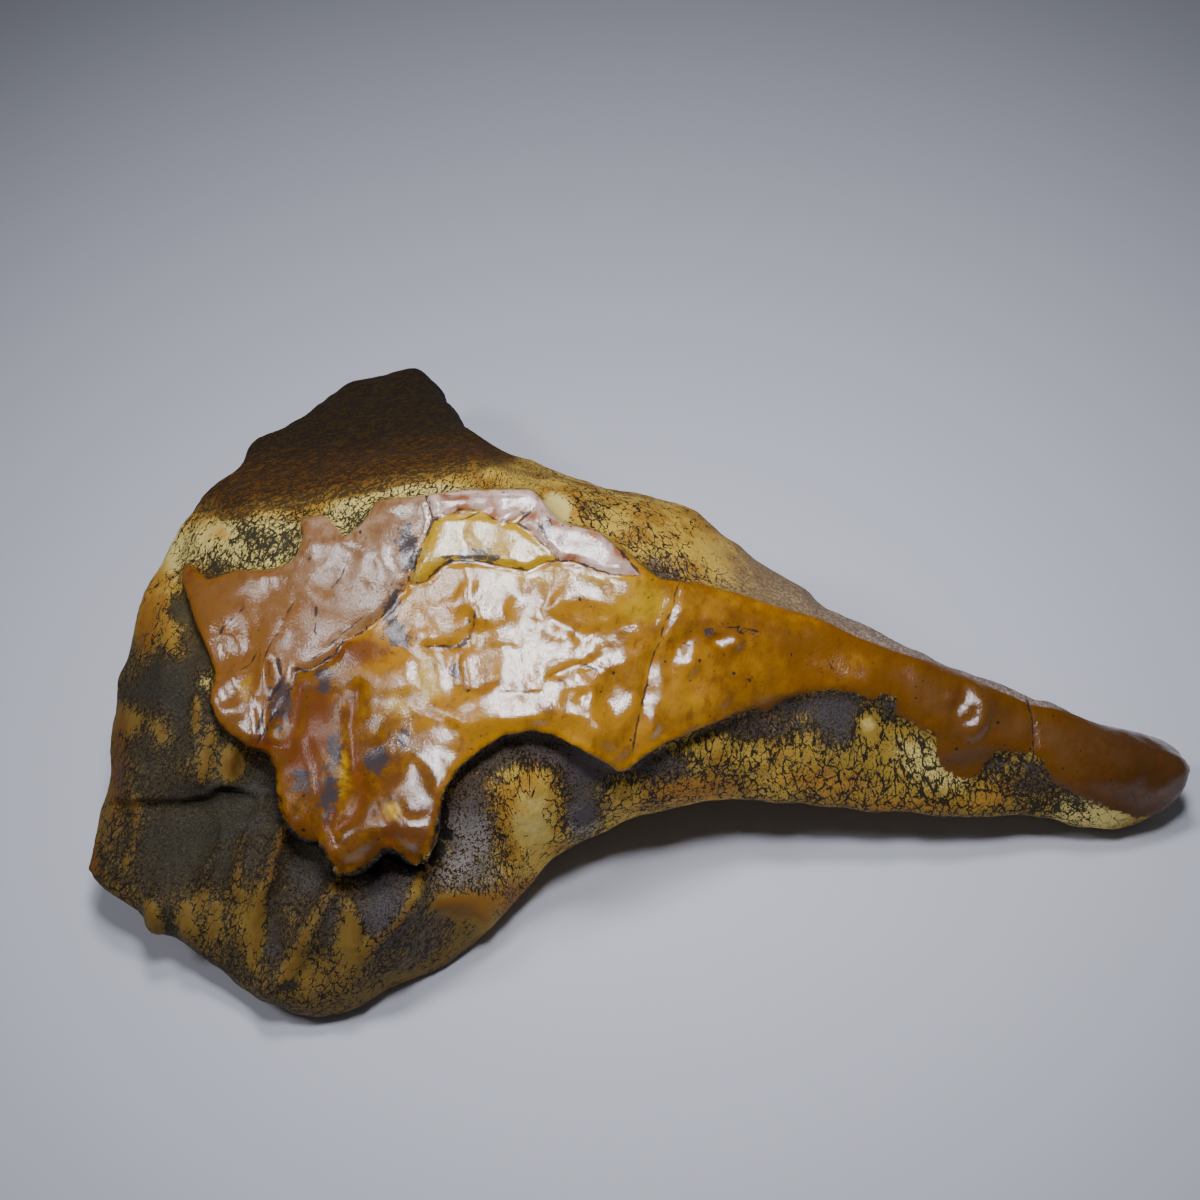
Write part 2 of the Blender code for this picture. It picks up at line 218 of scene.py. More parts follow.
# %% Body
FIRST_GRID = 0.6  # mm
FINE_GRID = 0.46
FIRST_ROUNDS, LIP_ROUNDS = 5, 2  # rounds of smoothing


def through_modifier(data, kind, **settings):
    """The mesh after one modifier."""
    holder = bpy.data.objects.new("holder", data)
    bpy.context.scene.collection.objects.link(holder)
    modifier = holder.modifiers.new("step", kind)
    for name, value in settings.items():
        setattr(modifier, name, value)
    graph = bpy.context.evaluated_depsgraph_get()
    result = bpy.data.meshes.new_from_object(holder.evaluated_get(graph))
    bpy.data.objects.remove(holder)
    return result


def relaxed(data, rounds):
    return through_modifier(data, "SMOOTH", factor=0.5, iterations=rounds)


def merged_copy(data):
    mesh = bmesh.new()
    mesh.from_mesh(data)
    bmesh.ops.remove_doubles(mesh, verts=mesh.verts, dist=1e-6)
    bmesh.ops.scale(mesh, vec=(1 / MM,) * 3, verts=mesh.verts)
    result = bpy.data.meshes.new("stone")
    mesh.to_mesh(result)
    mesh.free()
    return result


def places(data):
    """Points and normals of a mesh as arrays."""
    found = []
    for source, name in ((data.vertices, "co"), (data.vertex_normals, "vector")):
        flat = np.empty(len(source) * 3)
        source.foreach_get(name, flat)
        found.append(flat.reshape(-1, 3))
    return found


def moved(data, points):
    data.vertices.foreach_set("co", points.ravel())
    data.update()
    return data


solid = merged_copy(frame["nodes"]["agate"].data)
body = through_modifier(solid, "REMESH", mode="VOXEL", voxel_size=FIRST_GRID)
body = relaxed(body, FIRST_ROUNDS)
print("body:", len(body.vertices), "points")

# %% [markdown]
# ## The lip of the crust
# On the real stone the crust ends in a rounded bead, and the softer matrix under it is worn back, so a dark
# line runs below the edge. Moving points along their normals only makes a slope. Here the bead is also
# pushed sideways over the matrix, along the board, and the mesh is covered with fresh squares afterwards.

# %% Lip
CAD_ROUNDING = 1.6  # mm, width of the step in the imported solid
LIP_ROUNDING = 0.7  # mm, width of the step that is wanted
STEP_OUTSIDE = 0.4  # the share of the step's width that lies outside the edge
OVERHANG, OVERHANG_AT = 0.22, 0.5  # share of the lip's height, mm inside the edge
UNDERCUT, UNDERCUT_AT = 0.35, -0.9
BAND = 0.7  # mm, half width of overhang and undercut
PROBE = 0.2


def lip_height(across, up):
    """Height of the crust's lip, blended between the values along its edge."""
    edge = np.array(CRUST_EDGE)
    gap = (across[:, None] - edge[:, 0]) ** 2 + (up[:, None] - edge[:, 1]) ** 2
    weight = 1 / (gap + 0.5) ** 2
    return (weight * edge[:, 2]).sum(1) / weight.sum(1)


def facing(normals, width=0.3):
    """1 where the surface faces the board, falling to 0 at its limb."""
    return smooth((normals @ BOARD_OUT) / width)


def step_up(depth, width):
    return smooth((depth + STEP_OUTSIDE * width) / width)


points, normals = places(body)
across, up = onto_board(points)
depth = depth_inside(across, up, CRUST_EDGE)
to_right = depth_inside(across + PROBE, up, CRUST_EDGE) - depth
to_top = depth_inside(across, up + PROBE, CRUST_EDGE) - depth
steepness = np.maximum(np.hypot(to_right, to_top), 1e-6)
outward = -(to_right[:, None] * [1, 0, 0] + to_top[:, None] * BOARD_UP) / steepness[:, None]
lip = lip_height(across, up) * facing(normals)
sharper = step_up(depth, LIP_ROUNDING) - step_up(depth, CAD_ROUNDING)
worn_back = UNDERCUT * np.exp(-(((depth - UNDERCUT_AT) / BAND) ** 2))
over = OVERHANG * np.exp(-(((depth - OVERHANG_AT) / BAND) ** 2))
points += normals * (lip * (sharper - worn_back))[:, None] + outward * (lip * over)[:, None]
body = through_modifier(moved(body, points), "REMESH", mode="VOXEL", voxel_size=FINE_GRID)
body = relaxed(body, LIP_ROUNDS)
print("body with its lip:", len(body.vertices), "points")

# %% [markdown]
# ## Dishes, swells and facets of the crust
# Desert wind has hammered the crust into shallow dishes that meet in soft ridges, and it catches the light
# on every one. Each dish is a centre with two radii; where two meet, the nearer one wins, and that makes
# the ridge. Under them lie broad swells, and some patches are worn so flat that they mirror a lamp. A
# sculptor would press all this in by hand; here each form is a line in a list and a falloff, so it can be
# moved without spoiling its neighbours.

# %% Dishes: across, up, half width, half height
DISHES = [
    (-22, 13.5, 2, 3.25), (-20, 9.5, 1.25, 2), (-17.5, 8.5, 1.75, 2.25), (-18, 6, 1.25, 1.75),
    (-17, 13, 1.75, 1.5), (-13, 12, 2, 1.75), (-13.5, 9, 2.25, 2), (-9.5, 7.5, 2.5, 2), (-5, 8.5, 2.5, 2),
    (-8, 14.5, 2.25, 1.5), (-7, 12, 1.75, 1.5), (-2.5, 12, 1.75, 1.75), (1, 12.5, 1.25, 1.5),
    (-1.5, 7.5, 1.75, 1.75), (2.5, 7, 2, 1.5), (0, 3.5, 1.25, 2.75), (-3.5, 4, 1.75, 1.75),
    (-13, 6.5, 2, 1.5), (-10.5, 4, 1.25, 1.5), (-15.5, 2.5, 2.5, 1.5), (-7.5, 2.5, 2, 1.5),
    (-3, 0.5, 1.5, 1.75), (-23, 0, 1.75, 1.5), (-22, -2, 1.5, 1.25), (-23.5, -5, 1.5, 1.75),
    (-25.5, -7.5, 1.25, 1.5), (-26.5, -4.5, 1.5, 1.75), (-29, 0.5, 1.5, 1.75), (-28.5, -3.5, 1.75, 1.5),
    (-34, -6.5, 1.5, 1.75), (-36.5, -6, 1.5, 1.5), (-32, -10, 1.75, 1.75), (-35.5, -9, 1.5, 1.25),
    (-31.5, 3, 1.75, 1.75), (-33.5, -1.5, 1.5, 2), (-21.5, 4, 1.75, 1.75), (-24.5, 2.5, 1.5, 1.5),
    (-37.5, 17.5, 2, 1.75), (-32.5, 14.5, 2.75, 1.5), (-34.5, 21, 1.75, 1.25), (-30.5, 17.5, 1.75, 1.5),
    (-27, 17.5, 1.75, 2), (-39, 14.5, 1.75, 1.75), (-45.5, 9, 1.75, 1.75), (-44.5, 3.5, 1.75, 2),
    (-40.5, 4, 1.25, 2.75), (-36, 10, 1.75, 1.75), (-42.5, 1, 1.5, 1), (12.5, 9, 1.75, 1.75),
    (9, 6, 1.75, 1.5), (4.5, 10, 1.75, 1.5), (12.5, 13, 2, 1), (6, 10, 1.5, 1.25), (27, 2.5, 3, 2.25),
    (42, -1.5, 1.75, 1.75), (45.5, -3.5, 2, 1.75), (38, 0.5, 2, 2), (20.5, 7.5, 3, 1.75),
    (16, 6.5, 2.75, 1.75), (5, 5, 2.75, 1.75), (50, -5, 3, 2.5), (54.5, -6.5, 2, 2.25),
]
DISH_DEPTH = 0.15  # mm
RIDGE_SHARPNESS = 5  # higher makes the ridges between dishes sharper
DISH_REACH = 1.25
print("dishes:", len(DISHES))

# %% Facets: across, up, half width, half height, and the way each faces
TO_FRONT, TO_LEFT, TO_TOP = (0.02, -0.44, 0.9), (-0.29, -0.46, 0.84), (0, -0.31, 0.95)
TO_TAIL = (-0.14, -0.43, 0.9)
FACETS = [
    (-9.5, 8, 10, 4, TO_FRONT), (-18, 7.5, 1.75, 2.75, TO_FRONT), (-13.5, 2.5, 4.75, 1.5, TO_FRONT),
    (-7.5, 2.5, 2, 1.5, TO_FRONT), (0, 3.5, 1, 4, TO_FRONT), (-7, 14, 2.5, 2, TO_FRONT),
    (-24.5, -6, 1.75, 2.75, TO_FRONT), (34.5, 1.5, 1.75, 2.5, TO_TAIL), (-3.5, 3, 2, 2.5, TO_FRONT),
    (3.5, 7.5, 1.5, 2, TO_TAIL), (-22, -0.5, 2, 1.25, TO_FRONT), (8, 9, 1.5, 0.75, TO_TAIL),
    (-21.5, 13.5, 1.75, 3.25, TO_LEFT), (-35, 17, 3, 2.5, TO_LEFT), (-30, 14, 3, 3, TO_LEFT),
    (-41, 3, 0.75, 4, TO_LEFT), (-44.5, 8.5, 1.25, 1.25, TO_LEFT), (-44.5, 4, 0.75, 1.5, TO_LEFT),
    (-42.5, 0, 1, 1, TO_LEFT), (-29, 0.5, 0.75, 1.75, TO_LEFT), (-17.5, 24, 6, 1.75, TO_TOP),
    (-7.5, 19, 3, 2.25, TO_TOP), (-13.5, 18, 1.5, 1, TO_TOP), (-17.5, 20.5, 1.75, 1.25, TO_TOP),
]
FACET_REACH = 0.9  # mm that a facet may cut or fill
FLATTENED = 0.9  # share of the full cut that is made
CALMED_BY_FACETS = 0.25
print("facets:", len(FACETS))

# %% Swells, worn patches and bumpy patches: across, up, half width, half height, strength
SWELLS = [  # broad bulges and hollows, in mm
    (-25, -6, 2.25, 2.5, 0.55), (-30, -11, 2.25, 1.5, 0.4), (-24, -10, 1.5, 1.5, 0.35),
    (-35.5, -7.5, 1.75, 2.5, 0.45), (-44, 3, 1.75, 2.5, 0.3), (-29, -3.5, 1.75, 1.25, -0.3),
    (-43.5, 7.5, 2, 1.25, -0.3), (-24.5, 6, 1.25, 1.5, -0.3), (-22, -0.5, 2.25, 1.25, 0.25),
    (-21, 13.5, 1.75, 2.5, 0.45), (-16, 12.5, 2.25, 2.25, 0.3), (-11, 13, 0.75, 0.75, -0.35),
    (-5.5, 11, 3, 2.5, 0.3), (-9.5, 7, 2.5, 2.25, 0.3), (-13.5, 4, 3.25, 1.75, 0.3),
    (-5.5, 3, 2.75, 2, 0.3), (-15.5, 7.5, 1.75, 2, 0.2), (-8, 11.5, 1.5, 1.5, -0.35),
    (-19, 9, 1.5, 2.25, -0.45), (-21.5, 7.5, 1.25, 1.5, -0.3), (-11.5, 9, 1, 1.25, -0.25),
    (-4.5, 7, 1.25, 1.5, -0.25), (-33, 15.5, 4.25, 2.5, 0.3), (-37.5, 17.5, 1.5, 2, -0.3),
    (-28.5, 17.5, 2.25, 2.75, 0.35), (-41.5, 15.5, 2.25, 1.75, 0.25), (-35, 9, 2.5, 1.5, -0.25),
    (-45, 12, 1.75, 2.25, 0.25), (34, 1.5, 2.5, 3.5, 0.3), (30.5, 4, 1.75, 1.5, 0.15),
    (39, 0.5, 2, 2, -0.2), (7.5, 8, 2.75, 2.25, 0.2), (14, 9, 3.25, 1.5, -0.15), (3, 1, 2.25, 2.5, 0.25),
    (0, 4, 1.25, 2.75, 0.3),
]
DULL = [  # where the polish has worn off
    (-37, -5, 4, 7, 0.9), (-32, 1, 4, 5, 0.9), (-29, 8, 3, 3, 0.8), (-35, 12, 4, 2, 0.4),
    (20, 6, 7, 4, 0.8), (52, -6, 10, 5, 0.8), (-32.5, 15.5, 6, 4, 0.3), (-30, -8, 5, 4, 0.8),
    (-22, 1, 2.5, 2, 0.6), (-44, 10, 4, 5, 0.5), (-34, -4, 7, 9, 0.5), (34, -4, 4, 2.5, 1),
    (-37, 13, 9, 7, 0.4), (10, 5, 4, 3, 0.4), (-17, 1, 3, 1.5, 0.4), (-40, 4, 4, 4, 0.5),
    (-27, -7, 6, 4, 0.4), (5, 8.5, 5, 2, 0.6), (34, 1.5, 4, 4, 0.5),
]
BUMPY = [  # where fine bumps are added
    (-9, 8, 9, 6, 1.2), (-21, 13, 3, 4, 0.7), (-33, 16, 6, 4, 0.7), (34, 1.5, 4, 4, 1.5),
    (5, 8.5, 5, 3, 1.5),
]
CALMER = 0.55  # how much of the swells and ridges is kept
CALMED_BY_WEAR = 0.45
print("swells:", len(SWELLS), "worn patches:", len(DULL))

# %% [markdown]
# ## Ridges, grooves and cracks of the crust
# Sharper folds run over the crust, and the old cracks have worn into shallow grooves. They are lines on the
# board with a half width and a height. A crack that is also painted dark later is named once here and used
# twice.

# %% Ridges and grooves
TAIL_CRACK = [(41, 2.5), (41.5, 0.5), (41.5, -1), (41.5, -3.5)]
LEFT_SPLIT = [(-39.5, 7), (-39, 5), (-39.5, 4), (-40.5, 2.5), (-41.5, -0.5)]
LEFT_THREAD = [(-38, 13), (-39, 11.5), (-39.5, 10), (-40.5, 8.5), (-41, 7)]
HORSESHOE = [(-23.5, 8.5), (-21.5, 8.5), (-20, 8.5), (-19, 9.5), (-18.5, 11), (-18.5, 12)]
SHORT_ARC = [(-10.5, 5.5), (-9.5, 6), (-8, 6.5), (-6.5, 6.5), (-5.5, 6)]
RIDGES = [  # line, half width, height
    ([(-26, 6.5), (-25.5, 5), (-24.5, 3), (-22.5, 2), (-21, 1.5), (-19.5, 0.5), (-15.5, 1), (-11.5, 1),
      (-8, 1), (-5.5, 0), (-3, -2)], 0.9, 0.45),
    ([(-1.5, -1.5), (0.5, 0.5), (4, 2), (9.5, 4)], 1, 0.3),
    ([(-19.5, 16.5), (-19, 13.5), (-18, 11.5), (-17.5, 9)], 0.9, 0.35),
    ([(-32.5, -3), (-32, -4), (-31, -5.5), (-31, -7), (-31.5, -8.5)], 0.9, 0.3),
    ([(-30.5, -2.5), (-30, -4.5), (-28.5, -6), (-27.5, -7)], 0.9, 0.3),
    ([(-41, 7), (-41, 4), (-41.5, 1.5), (-41.5, -0.5)], 0.9, 0.25),
    ([(-38.5, -4), (-38.5, -6), (-37.5, -7.5), (-36.5, -8.5)], 0.6, 0.3),
    ([(-23, 3), (-21.5, 2.5), (-19, 1.5)], 0.5, 0.2),
]
GROOVES = [  # line, half width, depth
    ([(3, 15), (2.5, 12.5), (1, 9.5), (0, 6.5), (-1, 2), (-1.5, 0), (-2, -3.5)], 0.3, 0.2),
    (TAIL_CRACK, 0.3, 0.25),
    (LEFT_SPLIT, 0.7, 0.25),
    (HORSESHOE, 0.5, 0.35),
    (SHORT_ARC, 0.4, 0.3),
    (LEFT_THREAD, 0.3, 0.12),
    ([(-20.5, 5), (-18, 4), (-14, 4), (-11.5, 3), (-10.5, 1.5)], 0.9, 0.35),
    ([(-31, 4), (-31.5, 0.5), (-31, -4), (-30, -6.5), (-31, -9), (-32.5, -10)], 0.8, 0.5),
    ([(-37, 4), (-37.5, 0.5), (-38, -2)], 0.9, 0.45),
    ([(-27, -12), (-27, -10), (-28, -8.5)], 0.9, 0.45),
    ([(-33, -11.5), (-33.5, -10), (-33, -8.5)], 0.6, 0.45),
    ([(-38.5, -2), (-39.5, -2), (-40.5, -2)], 0.5, 0.4),
    ([(-36, -1.5), (-35, -4), (-34.5, -6.5)], 0.7, 0.3),
    ([(-22, -6.5), (-23.5, -3.5), (-26, -1.5)], 0.7, 0.25),
    ([(-19.5, 4), (-18, 4.5), (-15, 5), (-12.5, 4), (-11, 2.5), (-10, 1.5)], 0.5, 0.35),
    ([(-11.5, 12), (-9.5, 11.5), (-8, 10), (-7, 9), (-5.5, 10.5)], 0.5, 0.3),
    ([(-19, 11.5), (-18.5, 13.5), (-18, 15)], 0.5, 0.25),
    ([(-9.5, 5.5), (-8.5, 6), (-7, 6.5), (-5.5, 6)], 0.3, 0.25),
    ([(-19, 9), (-20, 7.5), (-20, 5)], 0.6, 0.3),
    ([(-5.5, 4), (-4, 2.5), (-3.5, 0.5)], 0.5, 0.25),
    ([(-6.5, 4), (-7.5, 3)], 0.4, 0.2),
]
GROOVE_CUT = 0.75
print("ridges:", len(RIDGES), "grooves:", len(GROOVES))

# %% [markdown]
# ## Ribs, humps and a ledge of the matrix
# Below the lip the bare rock is carved into ribs that run downwards, with channels between them. A low
# ledge crosses the left side, and the rock drops under it.

# %% Ribs, humps and ledge
RIBS = [  # line, half width, height
    ([(-55, -8), (-54.5, -10), (-55, -12.5), (-55.5, -14.5)], 0.7, 0.35),
    ([(-45.5, -12.5), (-46.5, -14), (-47, -15.5), (-47, -17), (-47.5, -19)], 0.7, 0.5),
    ([(-43, -11.5), (-43.5, -13.5), (-43.5, -15.5), (-43.5, -17.5)], 0.6, 0.5),
    ([(-38.5, -10.5), (-39.5, -13.5), (-40, -16), (-41, -18), (-41.5, -20.5), (-41.5, -23),
      (-42, -25)], 0.8, 0.6),
    ([(-32.5, -14.5), (-33, -16.5), (-34, -18), (-35, -20), (-36, -21.5), (-37, -24), (-38, -25.5),
      (-38.5, -26.5)], 0.9, 0.6),
    ([(-31.5, -18.5), (-31, -20.5), (-31, -22.5)], 0.7, 0.5),
    ([(-23.5, -13), (-24, -15), (-24.5, -17), (-25, -18)], 0.7, 0.6),
    ([(-25, -18), (-26.5, -20.5), (-29, -22.5), (-30.5, -24)], 1, 0.35),
    ([(-22, -18.5), (-20.5, -18.5), (-18.5, -19.5), (-17.5, -21)], 1, 0.5),
    ([(-53, -19), (-52.5, -21), (-52, -22.5)], 0.8, 0.5),
    ([(-49, -19), (-49, -21), (-48.5, -22)], 0.8, 0.5),
    ([(-46, -19), (-46, -21), (-46.5, -22)], 0.6, 0.3),
    ([(-48.5, 3), (-48, 1), (-48.5, -1)], 0.5, 0.35),
    ([(-51, 1), (-52, -1), (-52.5, -2.5)], 0.6, 0.3),
    ([(-46.5, 0), (-47, -2.5), (-47.5, -6)], 0.6, 0.35),
    ([(-59.5, 2.5), (-59.5, -6), (-60, -15.5)], 0.8, 0.35),
    ([(-52.5, 13.5), (-51.5, 8), (-52.5, 2.5)], 0.8, 0.25),
]
HUMPS = [  # bare rock that stands proud or lies deep: dabs in mm
    (-44.5, -4, 0.75, 2, 0.8), (-42.5, -4.5, 2.75, 2.25, -1), (-31.5, -23, 1.5, 1, 0.4),
    (-34, -25, 2, 1.5, 0.3), (-53, -21.5, 1, 1, 0.4), (-49, -21.5, 1, 1, 0.4),
    (-36, -15.5, 2.75, 3.25, -0.5), (-28.5, -16, 2.5, 2.75, -0.5), (-19.5, -14.5, 2.75, 3.75, -0.35),
    (-47, -12, 6, 3.5, -0.8), (-51, -16.5, 4.25, 2.25, -0.5), (-56.5, -12, 1.25, 3.25, -0.4),
    (-43.5, -19, 1.5, 1.75, -0.3), (-26, -21.5, 3.25, 1.5, -0.25), (-7, -6, 3.25, 4.25, -0.3),
    (-12.5, -10, 3.75, 5, 0.3), (4.5, -7, 5.5, 2.25, 0.3), (23.5, -1.5, 4.25, 2.25, -0.3),
    (12, -4, 6.5, 1.5, 0.2),
]
LEDGE = [(-56.5, -8), (-53, -8), (-50, -8), (-47, -7.5), (-45.5, -6.5), (-42.5, -7), (-38.5, -7)]
LEDGE_DROP, LEDGE_BEAD = 0.9, 0.25  # mm
LEDGE_FADE, LEDGE_END = 5, 1.5  # mm below the ledge, mm past its ends
SHEET_STEP, SHEET_GROOVE = 0.3, 0.4  # mm
print("ribs:", len(RIBS), "humps:", len(HUMPS))

# %% [markdown]
# ## Fine relief
# Now the lists become heights. Every point of the fine mesh adds up what each list says at its place on the
# board, and moves that far along its normal. A Displace modifier with a painted texture would do the same,
# but only as finely as the picture. Grain of a few sizes goes on top, because no worn skin is quite smooth.

# %% Heights from the lists
CRUST_GRAIN = ((1.9, 0.12), (0.9, 0.05))  # size and height in mm
BUMPY_GRAIN = ((1.5, 0.28), (0.8, 0.11))
CRUMPLED_GRAIN = ((1.6, 0.14), (0.8, 0.06))
HIDDEN_GRAIN = ((2.2, 0.12), (1, 0.05))
ROCK_GRAIN, FLUTE_GRAIN = ((0.8, 0.07),), ((1.1, 0.12),)
FLUTE_STRETCH = (1, 3, 1)


def dished(across, up):
    """Height of the hammered skin: 0 on the ridges, -1 in the middle of a dish."""
    total = np.exp(-np.full(len(across), RIDGE_SHARPNESS))
    for x, y, wide, tall in DISHES:
        spread = ((across - x) / (DISH_REACH * wide)) ** 2 + ((up - y) / (DISH_REACH * tall)) ** 2
        total += np.exp(-RIDGE_SHARPNESS * spread)
    return np.maximum(-np.log(total) / RIDGE_SHARPNESS, -0.3) - 1


def lines_height(across, up, lines):
    total = np.zeros(len(across))
    for line, wide, height in lines:
        gap, _, _ = along_line(across, up, line)
        total = np.maximum(total, height * np.exp(-((gap / wide) ** 2)))
    return total


def grain(points, layers, stretch=(1, 1, 1)):
    """Noise of several sizes, each with its own height."""
    total = np.zeros(len(points))
    for size, height in layers:
        scaled = points / (size * np.array(stretch))
        total += height * np.array([noise.noise(Vector(point)) for point in scaled])
    return total


def facet_fill(points, across, up, seen):
    """How far each point lies from the facets around it, and how much it belongs to them."""
    fill, share = np.zeros(len(points)), np.zeros(len(points))
    for x, y, wide, tall, faces in FACETS:
        near = smooth(1.5 - np.hypot((across - x) / wide, (up - y) / tall)) * seen
        toward = np.array(faces) / np.linalg.norm(faces)
        middle = (points * near[:, None]).sum(0) / near.sum()
        fill += near * np.clip((middle - points) @ toward, -FACET_REACH, FACET_REACH)
        share += near
    return fill / np.maximum(share, 1), np.minimum(share, 1)


# %% Relief of the crust
points, normals = places(body)
across, up = onto_board(points)
board_points = over_board(points)
depth = depth_inside(across, up, CRUST_EDGE)
seen = facing(normals)
sheets = sheet_depths(across, up)
_, middle, upper, right = sheets
on_middle, on_upper, on_right = (smooth((sheet + 0.2) / 0.5) for sheet in (middle, upper, right))
rise = SHEET_STEP * (on_upper + 0.6 * on_middle + on_right)
rise -= SHEET_GROOVE * np.exp(-((np.min(np.abs(sheets), axis=0) / 0.35) ** 2))

flat, flat_share = facet_fill(points, across, up, seen)
skin = DISH_DEPTH * dished(across, up)
skin += CALMER * (dabs(across, up, SWELLS) + lines_height(across, up, RIDGES))
skin += grain(points, CRUST_GRAIN)
skin += dabs(across, up, BUMPY) * grain(board_points, BUMPY_GRAIN)
by_facets = 1 - CALMED_BY_FACETS * flat_share
by_wear = 1 - CALMED_BY_WEAR * np.minimum(dabs(across, up, DULL), 1)
skin = FLATTENED * flat + skin * by_facets * by_wear
skin -= GROOVE_CUT * lines_height(across, up, GROOVES)
skin += smooth((np.maximum(upper, right) + 0.2) / 0.5) * grain(board_points, CRUMPLED_GRAIN)
lowest, highest = (round(float(end), 2) for end in (skin[depth > 0].min(), skin[depth > 0].max()))
print("crust relief from", lowest, "to", highest, "mm")

# %% Relief of the matrix
flutes = lines_height(across, up, RIBS) + dabs(across, up, HUMPS)
flutes += grain(board_points, FLUTE_GRAIN, FLUTE_STRETCH)
gap, side, past = along_line(across, up, LEDGE)
below = smooth(0.5 - side * gap / 0.7) * np.exp(-((gap / LEDGE_FADE) ** 2)) * (1 - smooth(past / LEDGE_END))
flutes += LEDGE_BEAD * np.exp(-((gap / 0.9) ** 2)) * (side > 0) - LEDGE_DROP * below
flutes += grain(points, ROCK_GRAIN)
hidden = (1 - seen) * grain(points, HIDDEN_GRAIN)

crust = smooth((depth + 0.1) / 0.6) * seen
bare = (1 - smooth((depth + 0.6) / 0.6)) * seen
points += normals * (crust * (rise + skin) + bare * flutes + hidden)[:, None]
points[:, 2] = np.maximum(points[:, 2], 0)
body = moved(body, points)
print("fine mesh:", len(body.polygons), "faces, top at", round(float(points[:, 2].max()), 1), "mm")

# %% [markdown]
# ## What was painted where
# Nature drew this stone in a few colours: amber crust, yellow matrix, grey chalcedony and black manganese
# that crept in from the cracks. Which of them lies where is drawn on the board as soft dabs, and stored on
# the points of the mesh as attributes. The material later breaks their soft edges up with noise. Image
# textures would be the usual way; attributes need no unwrapping and move with the shape.

